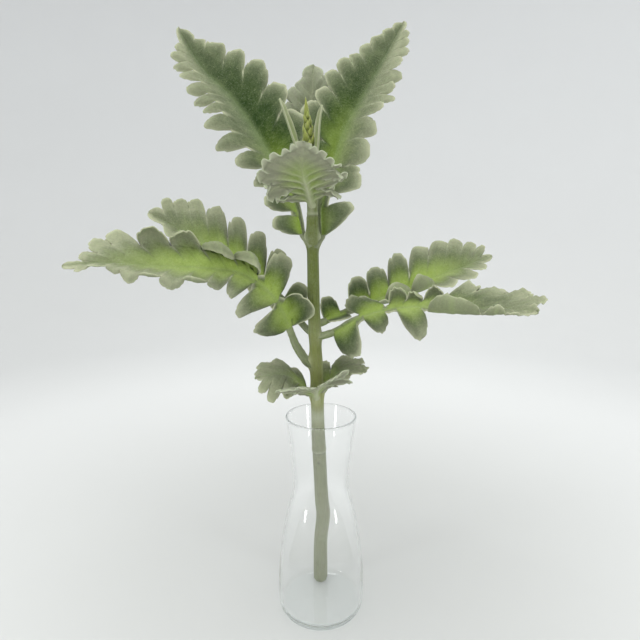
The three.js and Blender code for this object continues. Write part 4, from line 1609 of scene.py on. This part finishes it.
    def _thickness(self, flat: SheetPoint, read: Reading) -> tuple[np.ndarray, np.ndarray]:
        """Measures the leaf across its sheet.

        Args:
            flat: The points of the sheet.
            read: What is known of them.

        Returns:
            How far the upper and the under face stand off the sheet.
        """
        half_rib = self.rib_half(flat.y)
        round_back = np.sqrt(np.clip(1 - read.off**2, 0.0, 1.0))
        edge = np.sqrt(1 - (1 - np.clip(flat.rim / self.edge_band, 0.0, 1.0)) ** 2)
        keel = self.keel * half_rib * mix(np.exp(-0.8 * read.off**2), round_back, read.stalk)
        keel = keel * (self.plain_keel + (1 - self.plain_keel) * read.strong)
        crown = self.crown * half_rib * round_back * read.stalk
        ribbed = bell(flat.vein, 0.85) * (1 - 0.7 * read.lobe) * read.strong * np.clip(read.off, 0.0, 1.0)
        groove = self.groove * bell(read.off, 0.9) * (1 - read.stalk)
        over = self.thickness / 2 + crown - self.vein_over * ribbed - groove
        under = self.thickness / 2 + keel + self.vein_under * ribbed
        return over * edge, under * edge

    def _masks(self, flat: SheetPoint, read: Reading) -> dict[str, np.ndarray]:
        """Works out where the leaf's colours lie.

        Args:
            flat: The points of the sheet.
            read: What is known of them.

        Returns:
            The masks by name, from 0 to 1.
        """
        lobe, share, blade = read.lobe, read.share, 1 - read.stalk
        # Each half's felt is partly painted light: more felt paints a half pale grey as the sheen of felt
        # seen at a grazing angle, less leaves a half dark green as painted shade; the pale band along the
        # midrib is drawn wider on the half with more felt.
        halves = self.form.left.felt, self.form.right.felt
        own = mix(min(halves), np.where(flat.side < 0, *halves), ease(flat.x / 7))
        bright, reach = self.form.fresh
        clear, band = self.form.band
        felted = np.where(flat.side < 0, halves[0] >= halves[1], halves[1] >= halves[0])
        frosted = self.form.frost * ease((lobe - 0.4) / 0.5) * ease(share / 0.6)
        green = ease(mix(0.9, 1.15, np.clip(share / 0.45, 0.0, 1.0)) - 1.45 * lobe)
        veined = np.maximum(bell(flat.vein, 1.1) * (1 - 0.7 * lobe), bell(read.off, 1.4))
        return {
            "felt": np.clip(own * (0.35 + 0.65 * share) + 0.8 * lobe**6 + 0.5 * share**4 + frosted
                            + 0.5 * read.stalk, 0.0, 1.0),
            "fresh": bright * green * ease((reach - share) / 0.4) * (1 - 0.75 * read.stalk),
            "frost": np.full(len(share), self.form.frost),
            "rim": np.exp(-flat.rim / 1.1) * blade,
            "band": clear * bell(flat.x, band * np.where(felted, 1.0, 0.35)) * blade * (1 - share**2)
            * ease(share / 0.3),
            "vein": veined * read.strong,
        }

    def _shell(self, points: np.ndarray, over: np.ndarray, under: np.ndarray, shared: np.ndarray,
               masks: dict[str, np.ndarray]) -> tuple[Skin, BladeEdge]:
        """Closes the sheet into a shell.

        Args:
            points: The sheet's points in space.
            over: How far the upper face stands off them.
            under: How far the under face stands off them.
            shared: Which points are on the blade's edge, where the two faces meet.
            masks: The masks of the sheet.

        Returns:
            The shell's skin, and the blade's edge.
        """
        count = len(points)
        faces = np.array(self.sheet.faces)
        normals = point_normals(points, faces)
        below = np.where(shared, np.arange(count), count + np.cumsum(~shared) - 1)
        skin_points = np.vstack([points + normals * over[:, None],
                                 (points - normals * under[:, None])[~shared]])
        edges = {(a, b): c for face in self.sheet.faces
                 for a, b, c in (face, (*face[1:], face[0]), (face[2], *face[:2]))}
        open_edges = [(a, b, c) for (a, b), c in edges.items() if (b, a) not in edges]
        walls = []
        for a, b, _ in open_edges:
            for wall in ((b, a, int(below[a])), (b, int(below[a]), int(below[b]))):
                if len(set(wall)) == 3:
                    walls.append(wall)
        shell = [faces, below[faces][:, ::-1]] + ([np.array(walls)] if walls else [])
        both = {name: np.concatenate([values, values[~shared]]) for name, values in masks.items()}
        both["under"] = np.concatenate([np.where(shared, 0.5, 0.0), np.ones(int((~shared).sum()))])
        rim_edges = np.array([edge for edge in open_edges if shared[edge[0]] and shared[edge[1]]])
        start, end, inside = (points[rim_edges[:, i]] for i in range(3))
        middle, step = (start + end) / 2, end - start
        out = middle - inside
        squared = np.maximum((step**2).sum(axis=1, keepdims=True), 1e-9)
        out = unit(out - step * (out * step).sum(axis=1, keepdims=True) / squared)
        return Skin(skin_points, np.vstack(shell), both), BladeEdge(middle, out, step)


# ---- The stem, the bud and the vase ----


def around(count: int) -> np.ndarray:
    """Directions all round, in radians."""
    return np.linspace(0.0, 2 * math.pi, count, endpoint=False)


def turned_off(turn: np.ndarray, direction: float) -> np.ndarray:
    """How far turns in radians are off a direction in degrees, the shorter way round."""
    return np.angle(np.exp(1j * (turn - math.radians(direction))))


@dataclass
class StemRod:
    """The ridged stem with its joints, the swellings under its leaves and its cut end."""

    AROUND: ClassVar[int] = 72
    STEPS: ClassVar[int] = 460
    CAP_ROWS: ClassVar[int] = 4

    stem: StemLine
    feet: tuple[Point, ...]  # height, direction and stand-off of each leaf
    ridges: int = 9
    ridge: float = 0.04  # height, as a share of the radius
    worn: float = 0.55  # share of the ridges' height that is left on the old stem
    fibres: int = 23
    fibre: float = 0.012  # height, as a share of the radius
    lump: float = 0.1
    collar: float = 0.35  # height of the swelling under a leaf, past its stand-off
    collar_size: Pair = (5.0, 0.55)  # its half height, and its half width in radians
    ring: Pair = (0.22, 6.5)  # height of the swelling round the stem there, and half its length
    joints: Pair = (156.0, 345.5)  # heights of the two seams
    joint_rise: float = 0.34
    joint_gap: float = 0.3
    pit: Point = (146.5, -96.0, 1.3)  # height, direction and radius of a small round scar
    pit_depth: float = 0.8
    old_below: float = 197.0  # sage below this height

    def skin(self) -> Skin:
        """Builds the stem.

        Returns:
            One closed skin with its masks.
        """
        curve = self.stem.curve()
        mark = curve.mark_of(np.linspace(0.0, 1.0, self.STEPS))
        centre, heading = curve.at(mark), curve.heading(mark)
        right = unit(np.array([1.0, 0.0, 0.0]) - heading * heading[:, :1])
        back = np.cross(heading, right)
        turn = around(self.AROUND)[None, :]
        height = centre[:, 2:3]
        radius, collar, off_pit = self._surface(height, turn)
        rings = (centre[:, None] + right[:, None] * (radius * np.cos(turn))[..., None]
                 + back[:, None] * (radius * np.sin(turn))[..., None])
        foot = [mix(centre[0], rings[0], share) for share in np.linspace(0.2, 0.97, self.CAP_ROWS)]
        skin = lofted(np.concatenate([foot, rings]), centre[0], centre[-1])
        cap = self.CAP_ROWS * self.AROUND
        for name, values in self._masks(height, collar, off_pit).items():
            flat = np.broadcast_to(values, radius.shape).reshape(-1)
            skin.masks[name] = np.concatenate([np.full(cap, flat[0]), flat, [flat[0], flat[-1]]])
        skin.masks["pith"][:cap] = np.repeat(np.linspace(1.0, 0.75, self.CAP_ROWS), self.AROUND)
        skin.masks["pith"][-2] = 1.0
        return skin

    def _aged(self, height: np.ndarray) -> np.ndarray:
        """How old the stem is at heights, 0 to 1."""
        return ease((self.old_below + 10 - height) / 20)

    def _surface(self, height: np.ndarray, turn: np.ndarray) -> tuple[np.ndarray, np.ndarray, np.ndarray]:
        """Works out the stem's relief.

        Args:
            height: Heights, one a row.
            turn: Directions, one a column.

        Returns:
            The radius, the height of the leaves' collars, and how near the scar is, 0 to 1.
        """
        radius = self.stem.radius(height)
        wander = turn + 0.12 * np.sin(height / 37)
        ridged = np.cos(self.ridges * wander) - 0.35 * np.cos(2 * self.ridges * wander)
        swell = radius * self.ridge * mix(1.0, self.worn, self._aged(height)) * ridged
        swell = swell + self.fibre * radius * np.cos(self.fibres * turn + height / 19)
        swell = swell + self.lump * np.sin(height / 11 + 2 * turn)
        collar = np.zeros_like(swell)
        for foot, direction, stand_off in self.feet:
            long, wide = self.collar_size
            bump = bell(height - foot, long) * bell(turned_off(turn, direction), wide)
            ring = self.ring[0] * bell(height - foot, self.ring[1])
            collar = np.maximum(collar, (stand_off + self.collar) * bump + ring)
        seam = sum(self.joint_rise * bell(height - joint - 1.1, 0.9)
                   - self.joint_gap * bell(height - joint + 0.5, 0.5) for joint in self.joints)
        middle, direction, size = self.pit
        pit = bell(np.hypot(height - middle, radius * turned_off(turn, direction)), size)
        return radius + swell + collar + seam - self.pit_depth * pit, collar, pit

    def _masks(self, height: np.ndarray, collar: np.ndarray, pit: np.ndarray) -> dict[str, np.ndarray]:
        """Works out where the stem's colours lie.

        Args:
            height: Heights, one a row.
            collar: The height of the leaves' collars.
            pit: How near the scar is, 0 to 1.

        Returns:
            The masks by name, from 0 to 1.
        """
        pale = sum(bell(height - joint - 1.0, 1.2) for joint in self.joints)
        dark = sum(bell(height - joint + 0.5, 0.6) for joint in self.joints)
        cream = ease((300 - height) / 80) * ease((height - self.old_below + 5) / 12)
        return {
            "old": self._aged(height) * (1 - 0.5 * bell(height - 192, 8)),
            "pith": 0.45 * cream,
            "bloom": np.clip(0.4 * pale + 0.7 * bell(height - 190, 9) + 0.35 * collar, 0.0, 0.9),
            "scar": np.clip(0.7 * pit + 0.5 * dark, 0.0, 1.0),
        }


@dataclass
class Bud:
    """The bud on the tip of the shoot: a spire of small overlapping scales."""

    foot: Point = (-8, -46, 385.5)
    tip: Point = (-10.6, -46.6, 423)
    radius: float = 3.0
    scales: int = 24
    scale_turn: float = 137.5  # from one scale to the next, up the bud
    lowest: float = 0.05  # share of the bud's height where the scales start
    highest: float = 0.62
    scale_length: float = 6.8
    scale_half: float = 2.2  # half the width of a scale
    scale_hook: float = 1.4  # how far its tip bends in
    lean: Pair = (34.0, 12.0)  # of the lowest and the highest scale, to the side
    seed: int = 5

    def skin(self) -> Skin:
        """Builds the core and the scales.

        Returns:
            The bud as one skin.
        """
        foot, tip = np.array(self.foot, float), np.array(self.tip, float)
        draw = np.random.default_rng(self.seed)
        aside, waist = np.array([1.0, 0.0, 0.0]), mix(foot, tip, 0.48)
        skins = [self._petal(foot, mix(foot, tip, 0.85) - foot, aside, self.radius * 0.95, 0.95, 0.0),
                 self._petal(waist, tip - waist, np.array([0.3, -1.0, 0.0]), self.radius * 0.8, 0.5, 0.0)]
        for i in range(self.scales):
            share = mix(self.lowest, self.highest, i / (self.scales - 1))
            size = (1.2 - 0.8 * share) * draw.uniform(0.85, 1.15)
            turn = math.radians(i * self.scale_turn)
            out = np.array([math.cos(turn), math.sin(turn), 0.0])
            start = mix(foot, tip, share) + out * self.radius * 0.6 * size
            lean = math.radians(draw.uniform(-6, 6) + mix(*self.lean, share))
            along = unit(np.array([0, 0, 1.0]) * math.cos(lean) + out * math.sin(lean))
            skins.append(self._petal(start, along * self.scale_length * size, out, self.scale_half * size,
                                     0.72, self.scale_hook * size))
        return joined(skins)

    @staticmethod
    def _petal(start: np.ndarray, along: np.ndarray, out: np.ndarray, half_width: float, flatness: float,
               hook: float) -> Skin:
        """A plump pointed scale.

        Args:
            start: Its foot.
            along: From its foot to its tip.
            out: The direction in which its back faces.
            half_width: Half its width at the widest.
            flatness: Its thickness to its width.
            hook: How far its tip bends back in towards the bud.

        Returns:
            The scale's skin, with a mask from its foot to its tip.
        """
        across = unit(np.cross(along, out))
        back = unit(np.cross(across, along))
        shares = np.linspace(0.0, 1.0, 15)[1:-1]
        swell = np.sin(math.pi * shares**0.72) ** 0.85 * (1 - 0.35 * shares)
        turn = around(14)
        middle = start + along * shares[:, None] - back * (hook * shares**3)[:, None]
        ring = across * np.cos(turn)[:, None] * half_width
        ring = ring + back * (np.sin(turn) + 0.12 * np.cos(2 * turn))[:, None] * half_width * flatness
        rings = middle[:, None] + ring[None] * swell[:, None, None]
        skin = lofted(rings[:, ::-1] if np.dot(np.cross(across, back), along) < 0 else rings,
                      start, start + along - back * hook)
        skin.masks["along"] = np.concatenate([np.repeat(shares, len(turn)), [0.0, 1.0]])
        return skin


@dataclass
class Vase:
    """A blown glass vase: foot, belly, waist and flared mouth with a rounded lip."""

    AROUND: ClassVar[int] = 160

    wall: float = 1.8
    floor: float = 3.6
    # radius and height, from the hollow under the foot up the outside to the lip
    hollow: tuple[Pair, ...] = ((0, 0.9), (10, 0.9), (22, 0.75), (28.5, 0.35), (31.6, 0.05))
    outline: tuple[Pair, ...] = (
        (33.6, 0), (36.9, 3.4), (38.2, 12), (37.7, 36), (33.9, 70), (29.6, 92), (25.6, 108),
        (24.4, 122), (26.4, 147), (30.3, 179.1),
    )
    fillet: float = 6.0  # between the inside of the wall and the floor
    ripple: float = 0.02  # unevenness of the blown wall
    swirl: float = 0.3  # height of the swirl left in the middle of the floor
    swirl_reach: float = 6.0

    def skin(self) -> Skin:
        """Builds the vase.

        Returns:
            One closed skin.
        """
        profile = self._profile()
        turn = around(self.AROUND)[None, :]
        radius, height = profile[1:-1, 0:1], profile[1:-1, 1:2]
        blown = self.ripple * (np.sin(2 * turn + height / 31) + 0.6 * np.sin(5 * turn - height / 17))
        arms = np.sin(3 * turn + radius * 0.55)
        swirl = self.swirl * bell(radius, self.swirl_reach) * arms * ease(radius / 3)
        inside_floor = (np.abs(height - self.floor) < 0.6) & (radius < 20)
        raised = height + np.where(inside_floor, swirl, 0.0)
        spread = radius + blown * ease((height - 8) / 20)
        rings = np.stack([spread * np.cos(turn), spread * np.sin(turn), raised + 0 * turn], axis=2)
        return lofted(rings, (0, 0, profile[0][1]), (0, 0, profile[-1][1]))

    def _profile(self) -> np.ndarray:
        """Lays out the wall's section.

        Returns:
            Radius and height, from the axis under the foot, up the outside, over the lip, down
            the inside and in to the axis.
        """
        outline = SmoothLine(self.outline, held_ends=True)
        marks = np.linspace(0.0, 1.0, 76)
        outer, heading = outline.at(marks), outline.heading(marks)
        inward = np.stack([-heading[:, 1], heading[:, 0]], axis=1)
        inner = outer + inward * self.wall
        inner = inner[inner[:, 1] > self.floor + self.fillet][::-1]
        middle = outer[-1] + inward[-1] * self.wall / 2
        start = math.atan2(-inward[-1][1], -inward[-1][0])
        lip = [middle + self.wall / 2 * np.array([math.cos(start + turn), math.sin(start + turn)])
               for turn in np.linspace(0.0, math.pi, 11)[1:-1]]
        corner = np.array([inner[-1][0] - self.fillet, self.floor + self.fillet])
        bend = [corner + self.fillet * np.array([math.cos(turn), -math.sin(turn)])
                for turn in np.linspace(0.12, math.pi / 2, 9)]
        base = [(radius, self.floor) for radius in np.linspace(corner[0], 0.0, 26)[1:]]
        under = SmoothLine((*self.hollow, self.outline[0])).at(np.linspace(0.0, 1.0, 26))[:-1]
        return np.vstack([under, outer, lip, inner, bend, base])


# ---- The studio ----


@dataclass
class Studio:
    """A seamless pale bowl, soft lights from above and the camera. Sizes are in metres."""

    eye: Point = (-0.0009, -0.390, 0.332)
    pitch: float = -10.1
    lens: float = 27.0  # millimetres, on a sensor 36 wide
    floor_radius: float = 1.1
    wall_radius: float = 1.9
    wall_height: float = 2.0

    def camera(self) -> bpy.types.Object:
        """Adds the camera and makes it the scene's.

        Returns:
            The camera.
        """
        data = bpy.data.cameras.new("camera")
        data.lens, data.sensor_width = self.lens, 36.0
        data.clip_start, data.clip_end = 0.01, 20.0
        camera = bpy.data.objects.new("camera", data)
        camera.location = self.eye
        camera.rotation_euler = (math.radians(90 + self.pitch), 0.0, 0.0)
        bpy.context.scene.collection.objects.link(camera)
        bpy.context.scene.camera = camera
        return camera

    def backdrop(self, paper: bpy.types.Material) -> bpy.types.Object:
        """Adds the floor that sweeps up into a round wall.

        Args:
            paper: Its finish.

        Returns:
            The backdrop.
        """
        corner = np.linspace(0.0, math.pi / 2, 24)
        sweep = self.wall_radius - self.floor_radius
        radii = np.concatenate([np.linspace(0.15, 1.0, 8) * self.floor_radius,
                                self.floor_radius + sweep * np.sin(corner[1:]), [self.wall_radius]])
        heights = np.concatenate([np.zeros(8), sweep * (1 - np.cos(corner[1:])), [self.wall_height]])
        turn = around(96)
        rings = np.stack([radii[:, None] * np.cos(turn), radii[:, None] * np.sin(turn),
                          heights[:, None] + 0 * turn], axis=2) / MM
        bowl = lofted(rings, (0, 0, 0), (0, 0, self.wall_height / MM))
        closing = len(bowl.points) - 1
        bowl.faces = [face[::-1] for face in bowl.faces if closing not in face]
        bowl.points = bowl.points[:closing]
        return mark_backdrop(bowl.piece("backdrop", paper))

    def light(self, name: str, place: Point, size: Pair, power: float, tint: Colour = (1.0, 1.0, 1.0),
              aim: Point = (0.0, -0.03, 0.25)) -> bpy.types.Object:
        """Adds a soft rectangular light.

        Args:
            name: Its name.
            place: Where it stands.
            size: Its width and height.
            power: In watts.
            tint: Its colour.
            aim: The point that it faces.

        Returns:
            The lamp.
        """
        data = bpy.data.lights.new(name, "AREA")
        data.shape, data.size, data.size_y = "RECTANGLE", *size
        data.energy, data.color = power, tint
        lamp = bpy.data.objects.new(name, data)
        lamp.location = place
        heading = unit(np.array(aim) - np.array(place))
        lamp.rotation_euler = (math.acos(-heading[2]), 0.0, math.atan2(-heading[0], heading[1]))
        lamp.visible_camera = False
        bpy.context.scene.collection.objects.link(lamp)
        return lamp

    def lights(self) -> None:
        """Adds the overhead light, the fills and the two strips that the glass reflects."""
        self.light("overhead", (-0.1, -0.2, 1.45), (1.1, 1.1), 13.0, (1.0, 1.0, 0.98))
        self.light("front fill", (0.1, -1.4, 0.75), (0.8, 0.6), 4.0, (1.0, 0.995, 0.98))
        self.light("left strip", (-0.49, -0.35, 0.31), (0.08, 0.6), 1.0)
        self.light("right strip", (0.46, -0.39, 0.31), (0.07, 0.6), 0.85)

    def surroundings(self) -> None:
        """Sets the even light from all round and a plain view of colours."""
        world = bpy.data.worlds.new("surroundings")
        world.use_nodes = True
        ground = world.node_tree.nodes["Background"]
        ground.inputs["Color"].default_value = (0.90, 0.91, 0.92, 1.0)
        ground.inputs["Strength"].default_value = 0.8
        bpy.context.scene.world = world
        bpy.context.scene.view_settings.view_transform = "Standard"


# ---- The whole ----


GREEN_FELT = FeltedFinish(
    "green felted leaf", blade=(0.015, 0.037, 0.005), young=(0.265, 0.375, 0.055), felt=(0.22, 0.24, 0.152),
    edge=(0.45, 0.47, 0.32), under=(0.19, 0.215, 0.125), vein=(0.22, 0.27, 0.12), band=(0.20, 0.255, 0.125))
PALE_FELT = FeltedFinish(
    "pale felted leaf", blade=(0.10, 0.12, 0.06), young=(0.20, 0.30, 0.03), felt=(0.21, 0.23, 0.155),
    edge=(0.44, 0.47, 0.34), under=(0.225, 0.235, 0.165), vein=(0.36, 0.39, 0.25), band=(0.24, 0.27, 0.16))
YOUNG_FELT = FeltedFinish(
    "young felted leaf", blade=(0.15, 0.19, 0.07), young=(0.21, 0.27, 0.07), felt=(0.28, 0.30, 0.19),
    edge=(0.42, 0.44, 0.30), under=(0.24, 0.26, 0.17), vein=(0.31, 0.35, 0.20), band=(0.24, 0.28, 0.13))
BARK = BarkFinish(
    "felted stem", old=(0.185, 0.20, 0.115), green=(0.092, 0.12, 0.018), bloom=(0.38, 0.40, 0.30),
    pith=(0.32, 0.34, 0.12), scar=(0.07, 0.07, 0.04))
BUD_SCALES = BudFinish(
    "bud scales", foot=(0.13, 0.165, 0.02), tip=(0.25, 0.28, 0.055), down=(0.34, 0.36, 0.19))
CLEAR_GLASS = GlassFinish("clear glass", tint=(0.74, 0.80, 0.80), density=30.0)
HAIRS = HairFinish("leaf hairs", root=(0.23, 0.26, 0.15), tip=(0.50, 0.53, 0.42))
PAPER = PaperFinish(
    "pale paper", floor=(0.555, 0.565, 0.555), sweep=(0.78, 0.79, 0.785), wall=(0.80, 0.81, 0.815))


LEAF_FUZZ = Fuzz(per_area=0.42, per_edge=2.4)
YOUNG_FUZZ = Fuzz(per_area=0.6, per_edge=1.5, shortest=0.25, longest=0.5, thickness=0.05)


def add(skin: Skin, name: str, material: bpy.types.Material, slot: Slot, node: str | None = None,
        sharp: float | None = None) -> bpy.types.Object:
    """Makes a piece of the object, hangs it on the body, hides the solid that it stands for and logs its
    size.

    Args:
        skin: Its surface.
        name: Its name.
        material: Its finish.
        slot: The record's finish that it stands for; not used.
        node: The solid that it stands for, if any.
        sharp: Edges that turn by more than this many degrees stay sharp.

    Returns:
        The piece.
    """
    piece = skin.piece(name, material, sharp)
    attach(piece, BODY)
    if node:
        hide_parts(node)
    log.info("%s: %d points, %d faces", name, len(skin.points), len(skin.faces))
    return piece


def add_leaves(stem: StemLine, groups: Groups) -> None:
    """Adds each leaf and its hairs.

    Args:
        stem: The stem that they sit on.
        groups: The shared shader groups.
    """
    felts = {Slot.GREEN_LEAF: GREEN_FELT, Slot.PALE_LEAF: PALE_FELT, Slot.YOUNG_LEAF: YOUNG_FELT}
    finishes = {slot: felt.material(groups) for slot, felt in felts.items()}
    hair = HAIRS.material(groups)
    for seed, form in enumerate(LEAVES, start=11):
        skin, edge = FeltedLeaf(form, stem, seed).skin()
        add(skin, f"{form.name}_blade", finishes[form.slot], form.slot, form.name)
        fuzz = YOUNG_FUZZ if form.small else LEAF_FUZZ
        add(fuzz.grow(skin, seed, edge), f"{form.name}_hairs", hair, form.slot)


def main() -> None:
    """Builds the studio, the vase, the stem, the leaves and the bud in turn."""
    logging.basicConfig(level=logging.INFO, format="%(message)s")
    groups = Groups.built()
    studio = Studio()
    studio.camera()
    studio.backdrop(PAPER.material(groups))
    studio.lights()
    studio.surroundings()
    stem = StemLine()
    add(Vase().skin(), "vase_glass", CLEAR_GLASS.material(groups), Slot.GLASS, "vase")
    rod = StemRod(stem, tuple(form.foot for form in LEAVES))
    add(rod.skin(), "stem_rod", BARK.material(groups), Slot.STEM, "stem", sharp=50.0)
    add_leaves(stem, groups)
    add(Bud().skin(), "bud_scales", BUD_SCALES.material(groups), Slot.BUD, "bud")


if __name__ == "__main__":
    main()
